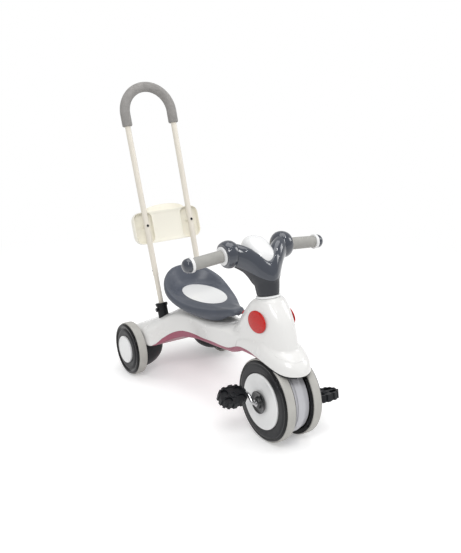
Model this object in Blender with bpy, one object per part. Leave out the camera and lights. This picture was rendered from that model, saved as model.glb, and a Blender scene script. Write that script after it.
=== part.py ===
"""Toddler tricycle with a push handle and backrest, one object for each separate piece.

All sizes are in metres. While a piece is modelled, x = 0 is the centre line with +x to the rider's left,
y = 0 is the front axle with +y to the rear, and z = 0 is the floor. At the end the root empty moves the
whole tricycle so that the middle of its box stands over the origin.
"""

import math

import bmesh
import bpy
from mathutils import Matrix, Vector

# Clearances
FACE_GAP = 0.0003  # between two pieces that rest on each other
RUN_GAP = 0.0006  # round a shaft that turns in a bore
SIDE_GAP = 0.0013  # between a turning wheel and what stands beside it

# Main sizes
WHEELBASE = 0.583
FRONT_TYRE_RADIUS = 0.118
REAR_TYRE_RADIUS = 0.085
STEERING_LEAN = math.radians(12.5)

# How the body stands on its axles: the mudguard's crown over the front one, the tail over and behind the rear
GUARD_OVER_AXLE = 0.1860
TAIL_OVER_AXLE = 0.0280
TAIL_BEHIND_AXLE = 0.0720

# Front wheel, distances across are from the centre line
FRONT_INNER_FACE = 0.0275
FRONT_TYRE_INNER = 0.0300
FRONT_TYRE_OUTER = 0.0560
FRONT_RIM_FACE = 0.0622
FRONT_WEB_FACE = 0.0600
FRONT_TYRE_DEPTH = 0.0095
FRONT_TYRE_SEAT_RADIUS = FRONT_TYRE_RADIUS - FRONT_TYRE_DEPTH
FRONT_RING_WIDTH = 0.0380
FRONT_COVER_RADIUS = FRONT_TYRE_RADIUS - FRONT_RING_WIDTH
FRONT_COVER_THICKNESS = 0.0037
COVER_RIM = 0.0100
COVER_DISH = 0.0015
HUB_CONE_BASE_RADIUS = 0.0316
HUB_CONE_SHOULDER_RADIUS = 0.0240
HUB_CONE_TIP_RADIUS = 0.0120
HUB_CONE_TIP = 0.0800
HUB_NOSE_RADIUS = 0.0120
HUB_BOSS_RADIUS = 0.0155

# Fork shroud: the drum between the two tyres
DRUM_UNDER_TREAD = 0.0150
DRUM_RADIUS = FRONT_TYRE_RADIUS - DRUM_UNDER_TREAD
DRUM_STEP = 0.0035
DRUM_SHOULDER_RADIUS = DRUM_RADIUS - DRUM_STEP
DRUM_STEP_AT = 0.0120
DRUM_WALL = 0.0025
DRUM_HUB_HOLE = 0.0180

# Crank and pedals
CRANK_ROD_RADIUS = 0.0050
CRANK_THROW = 0.0360
CRANK_TILT = math.radians(43.0)
CRANK_ARM_AT = 0.0895
CRANK_BEND_RADIUS = 0.0090
CRANK_PIN_END = 0.1680
PEDAL_INNER = 0.0965
PEDAL_WIDTH = 0.0840
PEDAL_LENGTH = 0.0640
PEDAL_THICKNESS = 0.0220
PEDAL_PITCH = {"left": math.radians(-10.0), "right": math.radians(26.0)}
PEDAL_EDGE_THICKNESS = 0.0160
PEDAL_TOOTH = 0.0022
PEDAL_TEETH = 14

# Steering stem and its bushes, distances along the steering axis are from the front axle
STEM_RADIUS = 0.0125
STEM_WALL = 0.0020
STEM_BLIND_END = 0.0125
STEM_TOP = 0.3450
FORK_SLEEVE_RADIUS = 0.0105
BOSS_WALL = 0.0032
BUSH_SPIGOT_WALL = 0.0027
BUSH_FLANGE = 0.0035
BOSS_BOTTOM = 0.1760
HEAD_TOP = 0.2790
NECK_RING_RADIUS = 0.0345
NECK_SHOULDER = 0.0020
COLLAR_BOTTOM = 0.2860
LOWER_BUSH_FLANGE_RADIUS = 0.0185

# Handlebar
BAR_Y = 0.1250
BAR_Z = 0.5050
BAR_PIVOT = 0.0810
BAR_LIFT = 0.0045
BAR_DROOP = math.radians(4.7)
COLLAR_RADIUS = 0.0312
COLUMN_RADIUS = 0.0358
BULB_RADIUS = 0.0380
BULB_INNER = 0.0570
BULB_FACE = 0.1045
GRIP_FLANGE_RADIUS = 0.0255
GRIP_FLANGE = 0.0050
GRIP_CORE_RADIUS = 0.0125
GRIP_PLUG_RADIUS = 0.0110
GRIP_PLUG_LENGTH = 0.0340
GRIP_RADIUS = 0.0170
GRIP_RING_RADIUS = 0.0208
GRIP_RING = 0.0080
END_CAP_RADIUS = 0.0198
END_CAP_LENGTH = 0.0209
HALF_WIDTH = 0.2295
GRIP_LENGTH = HALF_WIDTH - END_CAP_LENGTH - GRIP_RING - GRIP_FLANGE - BULB_FACE - 2 * FACE_GAP
SEAM_SLOPE = 0.55
SEAM_Y = 0.0350
SEAM_Z = 0.4440
# Sections through the two arms at a distance from the centre line: (x, y, z, half height, half depth)
ARM_SECTIONS = (
    (0.000, 0.0660, 0.4550, 0.0470, 0.0310), (0.013, 0.0700, 0.4600, 0.0480, 0.0315),
    (0.025, 0.0770, 0.4665, 0.0505, 0.0312), (0.034, 0.0840, 0.4735, 0.0500, 0.0308),
    (0.044, 0.0915, 0.4860, 0.0440, 0.0302), (0.057, 0.1010, 0.4975, 0.0380, 0.0298),
    (0.072, 0.1115, 0.5045, 0.0345, 0.0290), (0.088, 0.1220, 0.5085, 0.0290, 0.0270),
)
DOME_CENTRE = (0.0, 0.1150, 0.5000)
DOME_SIZE = (0.0360, 0.0560, 0.0380)
DOME_TILT = math.radians(25.0)

# Body shells
SHELL_WALL = 0.0030
ARCH_WALL = 0.0025
LINER_WALL = 0.0020
LINER_GAP = 0.0012
LINER_RISE = 0.0012
LINER_UNDER_EDGE = 0.0040
LINER_HOLE_GAP = 0.0025
WHEEL_WELL_END = 0.1250
BRIM_HALF_WIDTH = 0.0625
REFLECTOR_LENGTH = 0.0794
REFLECTOR_HEIGHT = 0.0596
REFLECTOR_THICKNESS = 0.0040
REFLECTOR_BEZEL = 0.0020
REFLECTOR_CENTRE = (0.0500, 0.0430, 0.3340)
REFLECTOR_YAW = math.radians(1.0)
REFLECTOR_PITCH = math.radians(6.0)
PLUG_RADIUS = 0.0065
PLUG_SPIGOT_RADIUS = 0.0040
PLUG_AT = (0.0, 0.1640, 0.3100)
PLUG_TILT = math.radians(-58.0)

# Saddle
SADDLE_CENTRE = 0.4100
SADDLE_FLOOR = 0.2945
SADDLE_WALL = 0.0040
SADDLE_SKIRT_SHARE = 0.91
INLAY_CENTRE = 0.4016
INLAY_WIDTH = 0.1160
INLAY_LENGTH = 0.1900
INLAY_THICKNESS = 0.0015
BOLT_RADIUS = 0.0030
BOLT_HEAD_RADIUS = 0.0060
BOLT_HEAD = 0.0040
BOLT_HEAD_CLEARANCE = 0.0010
BOLT_END_CLEARANCE = 0.0020
SADDLE_BOSS_RADIUS = 0.0130
SADDLE_BOSSES = (0.3500, 0.4500)

# Rear wheels and their housings
REAR_INNER_FACE = 0.1515
REAR_TYRE_INNER = 0.1540
REAR_TYRE_OUTER = 0.1815
REAR_OUTER_FACE = 0.1890
REAR_TYRE_DEPTH = 0.0093
REAR_TYRE_SEAT_RADIUS = REAR_TYRE_RADIUS - REAR_TYRE_DEPTH
REAR_CAP_RADIUS = 0.0444
REAR_HUB_RADIUS = 0.0140
REAR_WEB_AT = 0.1720
REAR_CAP_FACE = 0.1950
STUB_AXLE_RADIUS = 0.0050
STUB_AXLE_INNER = 0.1125
STUB_AXLE_RECESS = 0.0010
STUB_AXLE_CLEARANCE = 0.0040
HOUSING_UNDER_TREAD = 0.0170
HOUSING_RADIUS = REAR_TYRE_RADIUS - HOUSING_UNDER_TREAD
HOUSING_WALL = 0.0025
HOUSING_TIP = 0.0630
HOUSING_FACE = 0.1500
HOUSING_BOSS_RADIUS = 0.0120

# Push handle, distances along it are from the foot of its frame
HANDLE_FOOT_AHEAD = 0.0530
HANDLE_FOOT_OVER = 0.1150
HANDLE_LEAN = math.atan(0.345)
SOCKET_HALF_TRACK = 0.0775
BOW_RADIUS = 0.0830
ARC_CENTRE = 0.6470
UPPER_TUBE_RADIUS = 0.0090
UPPER_TUBE_WALL = 0.0010
LOWER_TUBE_WALL = 0.0012
TUBE_JOINT = 0.1280
TUBE_OVERLAP = 0.0450
LOWER_TUBE_START = -0.0700
SOCKET_BOTTOM = -0.0780
SOCKET_TOP = 0.0380
SOCKET_RADIUS = 0.0165
SOCKET_LIP_RADIUS = 0.0195
SOCKET_LIP = 0.0100
SOCKET_SIDE_BOSS_RADIUS = 0.0065
SOCKET_SIDE_BOSS_OUT = 0.0225
BUTTON_AT = 0.0180
BUTTON_RADIUS = 0.0030
BUTTON_PROUD = 0.0025
FOAM_RADIUS = 0.0160
FOAM_START = 0.6080

# Backrest, in the frame of the push handle
BACKREST_HALF_WIDTH = 0.1180
BACKREST_BOTTOM = 0.2306
BACKREST_TOP = 0.3332
BACKREST_CROWN = 0.3523
BACKREST_CROWN_HALF_WIDTH = 0.0760
BACKREST_DEPTH = 0.0170
BACKREST_WALL = 0.0030
BACKREST_CORNER = 0.0280
BACKREST_CENTRE_HALF_WIDTH = 0.0520
SCREW_AT = 0.2877
SCREW_RADIUS = 0.0020
SCREW_HEAD_RADIUS = 0.0042
SCREW_HEAD = 0.0022

# Steps round the turned pieces
WHEEL_STEPS = 24
HOUSING_STEPS = 24
HOUSING_RINGS = 6
SHAFT_STEPS = 12
COLUMN_STEPS = 16
TUBE_STEPS = 8
SADDLE_STEPS = 30
OVAL_STEPS = 20

# Lower edge of the white shell, as (y, z): over the mudguard, then along the mauve strip
WHITE_EDGE = (
    (-0.065, 0.2580), (-0.055, 0.2600), (-0.037, 0.2650), (-0.0143, 0.2700), (-0.0141, 0.2800),
    (0.017, 0.2860),
    (0.045, 0.2835),
    (0.077, 0.2730), (0.110, 0.2550), (0.137, 0.2390), (0.180, 0.2120), (0.263, 0.1980), (0.335, 0.1870),
    (0.411, 0.1830), (0.430, 0.1780), (0.474, 0.1470), (0.484, 0.1310), (0.495, 0.1215), (0.505, 0.1182),
    (0.527, 0.1165), (0.670, 0.1165),
)
# Upper edge of the mauve shell's rails beside the wheel, as (y, z), up to where it meets the white shell
RAIL_EDGE = (
    (-0.128, 0.2190), (-0.100, 0.2195), (-0.080, 0.2210), (-0.045, 0.2290), (-0.014, 0.2365), (0.018, 0.2400),
    (0.066, 0.2445), (0.103, 0.2415), (0.137, 0.2370),
)
# Body sections, as (y, half width at the lower edge, half width at the shoulder, heights of the lower edge,
# shoulder and crown)
BODY_SECTIONS = (
    (-0.014, 0.0625, 0.0500, 0.2345, 0.2600, 0.2640),
    (0.030, 0.0625, 0.0545, 0.2345, 0.2600, 0.2660),
    (0.098, 0.0625, 0.0550, 0.2290, 0.2600, 0.2700),
    (0.125, 0.0625, 0.0545, 0.2170, 0.2600, 0.2720),
    (0.158, 0.0590, 0.0535, 0.2030, 0.2520, 0.2720),
    (0.190, 0.0560, 0.0530, 0.1960, 0.2450, 0.2690),
    (0.216, 0.0555, 0.0535, 0.1910, 0.2430, 0.2640),
    (0.244, 0.0555, 0.0545, 0.1865, 0.2430, 0.2560),
    (0.300, 0.0555, 0.0585, 0.1785, 0.2360, 0.2530),
    (0.350, 0.0560, 0.0620, 0.1710, 0.2350, 0.2575),
    (0.385, 0.0610, 0.0655, 0.1650, 0.2350, 0.2600),
    (0.415, 0.0730, 0.0710, 0.1600, 0.2340, 0.2610),
    (0.446, 0.0930, 0.0790, 0.1470, 0.2270, 0.2570),
    (0.474, 0.1120, 0.0970, 0.1290, 0.2040, 0.2480),
    (0.500, 0.1480, 0.1440, 0.1145, 0.1540, 0.2260),
    (0.527, 0.1520, 0.1510, 0.1130, 0.1510, 0.2080),
    (0.555, 0.1520, 0.1510, 0.1130, 0.1480, 0.1940),
    (0.590, 0.1520, 0.1510, 0.1130, 0.1420, 0.1760),
    (0.625, 0.1520, 0.1505, 0.1130, 0.1360, 0.1560),
    (0.655, 0.1500, 0.1480, 0.1130, 0.1280, 0.1360),
)
CROWN_POWER = 1.7
BODY_EDGE_ROUNDING = 0.0055
# Head sections, as (height, front end, rear end, half width); each is tilted towards the neck's plane
HEAD_SECTIONS = (
    (0.262, -0.0580, 0.2000, 0.0553),
    (0.286, -0.0480, 0.1810, 0.0540),
    (0.310, -0.0385, 0.1650, 0.0520),
    (0.334, -0.0270, 0.1490, 0.0495),
    (0.356, -0.0115, 0.1320, 0.0470),
    (0.374, 0.0055, 0.1150, 0.0440),
    (0.384, 0.0150, 0.1040, 0.0410),
)
HEAD_POWER = 2.5
# Mudguard sections, as (y, half width, height of the crown)
MUDGUARD_SECTIONS = (
    (0.130, 0.0625, 0.2620), (0.103, 0.0625, 0.2825), (0.066, 0.0625, 0.2975), (0.018, 0.0625, 0.3040),
    (-0.014, 0.0620, 0.2875), (-0.032, 0.0600, 0.2800), (-0.045, 0.0576, 0.2750), (-0.062, 0.0525, 0.2672),
    (-0.080, 0.0425, 0.2566), (-0.092, 0.0315, 0.2455), (-0.100, 0.0180, 0.2345), (-0.103, 0.0100, 0.2280),
)
MUDGUARD_POWER = 2.5
NOSE_STATIONS = 3
# Saddle outline on its left half, as (x, y, height of the rim, height of the skirt's lower edge)
SADDLE_OUTLINE = (
    (0.000, 0.545, 0.3530, 0.300),
    (0.045, 0.538, 0.3490, 0.297),
    (0.080, 0.513, 0.3350, 0.290),
    (0.101, 0.475, 0.3175, 0.283),
    (0.105, 0.437, 0.3020, 0.275),
    (0.098, 0.390, 0.2905, 0.266),
    (0.083, 0.342, 0.2865, 0.259),
    (0.060, 0.293, 0.2880, 0.256),
    (0.040, 0.253, 0.2940, 0.259),
    (0.028, 0.222, 0.3020, 0.272),
    (0.019, 0.200, 0.3080, 0.288),
    (0.000, 0.190, 0.3100, 0.294),
)


def clear_scene():
    for obj in list(bpy.data.objects):
        bpy.data.objects.remove(obj, do_unlink=True)


def steering_matrix():
    """The steering axis: its origin on the front axle and its z along the leaning axis."""
    return Matrix.Translation((0, 0, FRONT_TYRE_RADIUS)) @ Matrix.Rotation(-STEERING_LEAN, 4, "X")


def handle_matrix():
    """The push handle's frame: its z up along the leaning legs and its y away from the child."""
    foot = Matrix.Translation((0, WHEELBASE - HANDLE_FOOT_AHEAD, REAR_TYRE_RADIUS + HANDLE_FOOT_OVER))
    return foot @ Matrix.Rotation(-HANDLE_LEAN, 4, "X")


def leg_matrix(side):
    """One leg of the push handle: the legs spread slightly from the sockets up to the bow."""
    spread = math.atan((BOW_RADIUS - SOCKET_HALF_TRACK) / ARC_CENTRE)
    offset = Matrix.Translation((side * SOCKET_HALF_TRACK, 0, 0))
    return handle_matrix() @ offset @ Matrix.Rotation(side * spread, 4, "Y")


def crank_pin(side):
    """Where a pedal's pin stands from the front axle, as (y, z)."""
    return (
        -side * CRANK_THROW * math.cos(CRANK_TILT),
        FRONT_TYRE_RADIUS - side * CRANK_THROW * math.sin(CRANK_TILT),
    )


def frame_matrices():
    """Each empty's place in the tricycle's own frame."""
    frames = {"tricycle": Matrix.Identity(4), "steering_axis": steering_matrix()}
    frames["front_axle"] = Matrix.Translation((0, 0, FRONT_TYRE_RADIUS))
    for word, side in SIDES:
        pin_y, pin_z = crank_pin(side)
        frames[f"pedal_pin_{word}"] = Matrix.Translation((side * CRANK_PIN_END, pin_y, pin_z))
        rear_axle = (side * REAR_INNER_FACE, WHEELBASE, REAR_TYRE_RADIUS)
        frames[f"rear_axle_{word}"] = Matrix.Translation(rear_axle)
        button = Matrix.Translation((side * SOCKET_SIDE_BOSS_OUT, 0, BUTTON_AT))
        frames[f"button_axis_{word}"] = leg_matrix(side) @ button
    return frames


SIDES = (("left", 1), ("right", -1))
PARENTS = {
    "tricycle": None,
    "steering_axis": "tricycle",
    "front_axle": "steering_axis",
    "pedal_pin_left": "front_axle",
    "pedal_pin_right": "front_axle",
    "rear_axle_left": "tricycle",
    "rear_axle_right": "tricycle",
    "button_axis_left": "tricycle",
    "button_axis_right": "tricycle",
}
FRAMES = frame_matrices()


def make_empties():
    """One empty for each moving body, parented as the bodies are."""
    empties = {}
    for name, parent in PARENTS.items():
        empty = bpy.data.objects.new(name, None)
        bpy.context.scene.collection.objects.link(empty)
        empty.empty_display_size = 0.03
        if parent:
            empty.parent = empties[parent]
            empty.matrix_local = FRAMES[parent].inverted() @ FRAMES[name]
        empties[name] = empty
    return empties


def material(name, colour, roughness, metallic=0.0):
    """A plain Principled material, made once and then shared."""
    found = bpy.data.materials.get(name)
    if found:
        return found
    made = bpy.data.materials.new(name)
    made.use_nodes = True
    shader = made.node_tree.nodes["Principled BSDF"]
    shader.inputs["Base Color"].default_value = (*colour, 1.0)
    shader.inputs["Roughness"].default_value = roughness
    shader.inputs["Metallic"].default_value = metallic
    return made


def white_gloss():
    return material("white_gloss", (0.76, 0.76, 0.74), 0.25)


def mauve_gloss():
    return material("mauve_gloss", (0.42, 0.12, 0.17), 0.35)


def slate_gloss():
    return material("slate_gloss", (0.062, 0.073, 0.102), 0.15)


def slate_satin():
    return material("slate_satin", (0.045, 0.048, 0.052), 0.45)


def saddle_satin():
    return material("saddle_satin", (0.115, 0.130, 0.165), 0.40)


def black_plastic():
    return material("black_plastic", (0.018, 0.020, 0.022), 0.45)


def wheel_black():
    return material("wheel_black", (0.030, 0.031, 0.034), 0.40)


def tread_grey():
    return material("tread_grey", (0.52, 0.51, 0.48), 0.60)


def drum_grey():
    return material("drum_grey", (0.42, 0.43, 0.48), 0.45)


def grip_grey():
    return material("grip_grey", (0.40, 0.39, 0.37), 0.65)


def foam_grey():
    return material("foam_grey", (0.35, 0.34, 0.33), 0.90)


def pole_cream():
    return material("pole_cream", (0.73, 0.68, 0.58), 0.35)


def panel_cream():
    return material("panel_cream", (0.83, 0.79, 0.60), 0.35)


def reflector_red():
    return material("reflector_red", (0.60, 0.012, 0.010), 0.10)


def steel():
    return material("steel", (0.55, 0.55, 0.56), 0.30, 1.0)


def add_object(name, bm, made_of, frame="tricycle"):
    """Turns a bmesh, modelled in the tricycle's frame, into an object under one of the empties."""
    bmesh.ops.remove_doubles(bm, verts=bm.verts, dist=1e-6)
    bmesh.ops.recalc_face_normals(bm, faces=bm.faces)
    mesh = bpy.data.meshes.new(name)
    bm.to_mesh(mesh)
    bm.free()
    obj = bpy.data.objects.new(name, mesh)
    bpy.context.scene.collection.objects.link(obj)
    if made_of:
        mesh.materials.append(made_of)
    seat(obj, frame)
    return obj


def seat(obj, frame):
    """Puts the object's origin on its empty and keeps its mesh where it was modelled."""
    obj.data.transform(FRAMES[frame].inverted())
    obj.data.shade_smooth()
    obj.data.set_sharp_from_angle(angle=math.radians(32))
    obj["frame"] = frame


def is_closed(mesh):
    """True where every edge of a mesh joins two faces and there is something left of it."""
    bm = bmesh.new()
    bm.from_mesh(mesh)
    closed = len(bm.faces) > 0 and all(edge.is_manifold for edge in bm.edges)
    bm.free()
    return closed


def boolean(target, tool, operation):
    """Applies one Boolean and removes its tool, which sits in the same frame as the target. The manifold
    solver stands in only where the exact one leaves an open or empty mesh."""
    modifier = target.modifiers.new(operation.lower(), "BOOLEAN")
    modifier.operation = operation
    modifier.object = tool
    for solver in ("EXACT", "MANIFOLD"):
        modifier.solver = solver
        bpy.context.view_layer.update()
        evaluated = target.evaluated_get(bpy.context.evaluated_depsgraph_get())
        result = bpy.data.meshes.new_from_object(evaluated)
        if is_closed(result):
            break
    target.modifiers.clear()
    old = target.data
    target.data = result
    result.name = target.name
    bpy.data.meshes.remove(old)
    bpy.data.objects.remove(tool, do_unlink=True)
    result.shade_smooth()
    result.set_sharp_from_angle(angle=math.radians(32))


def helper(bm):
    """A tool for a Boolean: it has no material and never stays in the scene."""
    return add_object("tool", bm, None)


def turned(profile, steps, axis="Z", place=None, round_out=False):
    """A solid of revolution from (along, radius) points: a ring if it is closed, a plug if both ends are on
    the axis. With round_out the flats and not the corners are at the radius, and a flat faces down."""
    bm = bmesh.new()
    grow = 1 / math.cos(math.pi / steps) if round_out else 1.0
    turn = Matrix.Rotation(math.pi / 2, 4, "Y") if axis == "X" else Matrix.Identity(4)
    start = Matrix.Rotation(math.pi / steps if round_out else 0.0, 4, "Z")
    verts = [bm.verts.new(turn @ start @ Vector((radius * grow, 0, along))) for along, radius in profile]
    on_axis = profile[0][1] == 0 and profile[-1][1] == 0
    edges = [bm.edges.new(pair) for pair in zip(verts, verts[1:])]
    if not on_axis:
        edges.append(bm.edges.new((verts[-1], verts[0])))
    bmesh.ops.spin(
        bm,
        geom=verts + edges,
        cent=(0, 0, 0),
        axis=turn @ Vector((0, 0, 1)),
        dvec=(0, 0, 0),
        angle=2 * math.pi,
        steps=steps,
        use_merge=True,
    )
    bmesh.ops.remove_doubles(bm, verts=bm.verts, dist=1e-6)
    if place is not None:
        bm.transform(place)
    return bm


def sided(profile, side):
    """A profile along x, given for the left side, put on the side asked for."""
    return [(side * along, radius) for along, radius in profile]


def axle_place(y, z):
    return Matrix.Translation((0, y, z))


def lofted(rings):
    """A closed solid through rings of equal length, with a flat cap on each end."""
    bm = bmesh.new()
    rows = [[bm.verts.new(point) for point in ring] for ring in rings]
    for near, far in zip(rows, rows[1:]):
        for index in range(len(near)):
            after = (index + 1) % len(near)
            bm.faces.new((near[index], near[after], far[after], far[index]))
    bm.faces.new(rows[0])
    bm.faces.new(rows[-1])
    bmesh.ops.triangulate(bm, faces=bm.faces)
    return bm


def tube_along(path, radius, bore=0.0, steps=TUBE_STEPS):
    """A round rod or tube swept along points that lie in one plane."""
    across = (path[1] - path[0]).cross(path[-1] - path[0] + Vector((0, 0, 1e-9)))
    for index in range(2, len(path)):
        bend = (path[1] - path[0]).cross(path[index] - path[index - 1])
        if bend.length > across.length:
            across = bend
    if across.length < 1e-8:
        across = (path[1] - path[0]).orthogonal()
    across.normalize()
    rings = []
    for index, point in enumerate(path):
        before = path[max(index - 1, 0)]
        after = path[min(index + 1, len(path) - 1)]
        incoming = (point - before).normalized() if index else (after - point).normalized()
        outgoing = (after - point).normalized() if index < len(path) - 1 else incoming
        along = (incoming + outgoing).normalized()
        mitre = 1 / max(along.dot(incoming), 0.5)
        up = along.cross(across).normalized()
        rings.append((point, across, up * mitre))
    def ring(entry, size):
        point, side_way, up_way = entry
        angles = [2 * math.pi * step / steps for step in range(steps)]
        return [point + side_way * size * math.cos(a) + up_way * size * math.sin(a) for a in angles]
    outer = [ring(entry, radius) for entry in rings]
    if not bore:
        return lofted(outer)
    inner = [ring(entry, bore) for entry in rings]
    bm = bmesh.new()
    rows = [[bm.verts.new(point) for point in loop] for loop in outer + inner[::-1]]
    for near, far in zip(rows, rows[1:] + rows[:1]):
        for index in range(steps):
            after = (index + 1) % steps
            bm.faces.new((near[index], near[after], far[after], far[index]))
    return bm


def box(low, high):
    bm = bmesh.new()
    size = [high[i] - low[i] for i in range(3)]
    middle = [(high[i] + low[i]) / 2 for i in range(3)]
    bmesh.ops.create_cube(bm, size=1.0, matrix=Matrix.Translation(middle) @ Matrix.Diagonal((*size, 1.0)))
    return bm


def height_on(line, y):
    """The height at y of a line given as (y, z) points."""
    if y <= line[0][0]:
        return line[0][1]
    for (y0, z0), (y1, z1) in zip(line, line[1:]):
        if y <= y1:
            return z0 + (z1 - z0) * (y - y0) / (y1 - y0)
    return line[-1][1]


def edge_block(line, start, end, offset, above):
    """A block that fills the space above or below a line of (y, z) points, to cut a shell along it."""
    reach = 0.5
    ys = [start] + [y for y, _ in line if start < y < end] + [end]
    outline = [(y, height_on(line, y) + offset) for y in ys]
    far = 1.0 if above else -0.5
    outline += [(end, far), (start, far)]
    rings = [[Vector((x, y, z)) for y, z in outline] for x in (-reach, reach)]
    return lofted(rings)


def front_lift():
    """How far the front of the body moves up from its drawn height, to follow the front axle."""
    return FRONT_TYRE_RADIUS + GUARD_OVER_AXLE - max(section[2] for section in MUDGUARD_SECTIONS)


def raised(point):
    """A drawn point of the head or handlebar, at the height that the front axle gives it."""
    return Vector(point) + Vector((0, 0, front_lift()))


def placed(y, z):
    """A drawn point of the body: the front follows the front axle, the tail the rear one, and what lies
    under the saddle is stretched between them."""
    front = SADDLE_OUTLINE[-1][1]
    rear = SADDLE_OUTLINE[0][1]
    share = min(1.0, max(0.0, (y - front) / (rear - front)))
    back = WHEELBASE + TAIL_BEHIND_AXLE - BODY_SECTIONS[-1][0]
    rear_lift = REAR_TYRE_RADIUS + TAIL_OVER_AXLE - BODY_SECTIONS[-1][3]
    return y + back * share, z + front_lift() * (1 - share) + rear_lift * share


def white_line():
    return [placed(y, z) for y, z in WHITE_EDGE]


def rail_line():
    return [placed(y, z) for y, z in RAIL_EDGE]


def body_ring(station, inset, floor_inset):
    y, low_width, shoulder_width, low, shoulder, crown = station
    low_width -= inset
    shoulder_width -= inset
    shoulder -= inset * 0.5
    crown -= inset
    low += floor_inset
    right = [
        (low_width - BODY_EDGE_ROUNDING, low), (low_width, low + BODY_EDGE_ROUNDING),
        ((low_width + shoulder_width) / 2, (low + shoulder) / 2),
    ]
    for step in range(5):
        x = shoulder_width * math.cos(step * math.pi / 10)
        rise = (1 - (x / shoulder_width) ** CROWN_POWER) ** (1 / CROWN_POWER)
        right.append((x, shoulder + (crown - shoulder) * rise))
    left = [(-x, z) for x, z in reversed(right)]
    at, lift = placed(y, 0.0)
    return [Vector((x, at, z + lift)) for x, z in right + [(0.0, crown)] + left]


def body_loft(inset, floor_inset):
    stations = [list(station) for station in BODY_SECTIONS]
    stations[0][0] += inset
    stations[-1][0] -= inset
    return lofted([body_ring(station, inset, floor_inset) for station in stations])


def oval(half_length, half_width, power, count):
    """Points of a rounded oval, from its front end round by its left side."""
    points = []
    for step in range(count):
        angle = 2 * math.pi * step / count
        x = math.copysign(abs(math.sin(angle)) ** (2 / power), math.sin(angle))
        y = -math.copysign(abs(math.cos(angle)) ** (2 / power), math.cos(angle))
        points.append((half_width * x, half_length * y))
    return points


def head_loft(inset, bottom):
    """The steering head up to the neck's plane; a lower bottom carries its foot straight down."""
    rings = []
    lean = math.tan(STEERING_LEAN)
    lift = front_lift()
    count = 16
    sections = [(lean * index / len(HEAD_SECTIONS), *section) for index, section in enumerate(HEAD_SECTIONS)]
    if bottom < HEAD_SECTIONS[0][0]:
        sections.insert(0, (0.0, bottom, *HEAD_SECTIONS[0][1:]))
    for tilt, height, front, rear, half_width in sections:
        middle = (front + rear) / 2
        ring = oval((rear - front) / 2 - inset, half_width - inset, HEAD_POWER, count)
        rings.append([Vector((x, middle + y, height + lift - tilt * y)) for x, y in ring])
    neck = steering_matrix() @ Matrix.Translation((0, 0, HEAD_TOP - inset))
    neck_radius = NECK_RING_RADIUS + NECK_SHOULDER - inset
    ring = oval(neck_radius, neck_radius, 2.0, count)
    rings.append([neck @ Vector((x, y, 0)) for x, y in ring])
    return lofted(rings)


def on_axis(start, end, radius, steps=COLUMN_STEPS, round_out=True):
    """A plain cylinder along the steering axis."""
    profile = [(start, 0), (start, radius), (end, radius), (end, 0)]
    return turned(profile, steps, place=steering_matrix(), round_out=round_out)


def make_body_shells():
    """The white upper shell and the mauve lower shell, cut along their shared edge."""
    upper = add_object("body_upper_shell", body_loft(0, 0), white_gloss())
    boolean(upper, helper(head_loft(0, HEAD_SECTIONS[0][0])), "UNION")
    cavity = helper(body_loft(SHELL_WALL, SHELL_WALL))
    boolean(cavity, helper(head_loft(SHELL_WALL, HEAD_SECTIONS[0][0] - 0.010)), "UNION")
    boolean(upper, cavity, "DIFFERENCE")
    boss_radius = bush_bore() + BUSH_SPIGOT_WALL + FACE_GAP + BOSS_WALL
    boolean(upper, helper(on_axis(BOSS_BOTTOM, HEAD_TOP - SHELL_WALL / 2, boss_radius)), "UNION")
    boolean(upper, helper(on_axis(0.1, STEM_TOP, bush_bore() + BUSH_SPIGOT_WALL + FACE_GAP)), "DIFFERENCE")
    start = -0.3
    end = WHEELBASE + 0.3
    boolean(upper, helper(edge_block(white_line(), start, end, 0, False)), "DIFFERENCE")

    lower = add_object("body_lower_shell", body_loft(0, 0), mauve_gloss())
    cavity = body_loft(SHELL_WALL, SHELL_WALL)
    boolean(lower, helper(cavity), "DIFFERENCE")
    behind_rail = [point for point in white_line() if point[0] > RAIL_EDGE[-1][0]]
    boolean(lower, helper(edge_block(rail_line() + behind_rail, start, end, -FACE_GAP, True)), "DIFFERENCE")
    rail = BRIM_HALF_WIDTH - SHELL_WALL
    boolean(lower, helper(box((-rail, -0.2, 0.1), (rail, WHEEL_WELL_END, 0.5))), "DIFFERENCE")
    return upper


def bush_bore():
    return STEM_RADIUS + FACE_GAP


def arch_rings(inset, rise=0.0, below=0.0, crown_limit=0.0, rear=1.0):
    """Half-round sections of the mudguard, from behind the wheel to its nose; below carries the sides of a
    cutter straight down."""
    rings = []
    steps = 12
    stations = list(MUDGUARD_SECTIONS)
    lift = front_lift()
    for index, (y, half_width, crown) in enumerate(stations):
        y = min(y, rear)
        low = height_on(RAIL_EDGE, y) + FACE_GAP + rise
        if index >= len(stations) - NOSE_STATIONS:
            y += inset
        half_width -= inset
        crown -= inset
        if crown_limit and y > WHITE_EDGE[0][0]:
            crown = min(crown, height_on(WHITE_EDGE, y) - crown_limit)
        ring = []
        for step in range(steps + 1):
            angle = math.pi * step / steps
            x = math.copysign(abs(math.cos(angle)) ** (2 / MUDGUARD_POWER), math.cos(angle))
            share = math.sin(angle) ** (2 / MUDGUARD_POWER)
            ring.append(Vector((half_width * x, y, low + (crown - low) * share + lift)))
        if below:
            ring.insert(0, ring[0] - Vector((0, 0, below)))
            ring.append(ring[-1] - Vector((0, 0, below)))
        rings.append(ring)
    return rings


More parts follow.
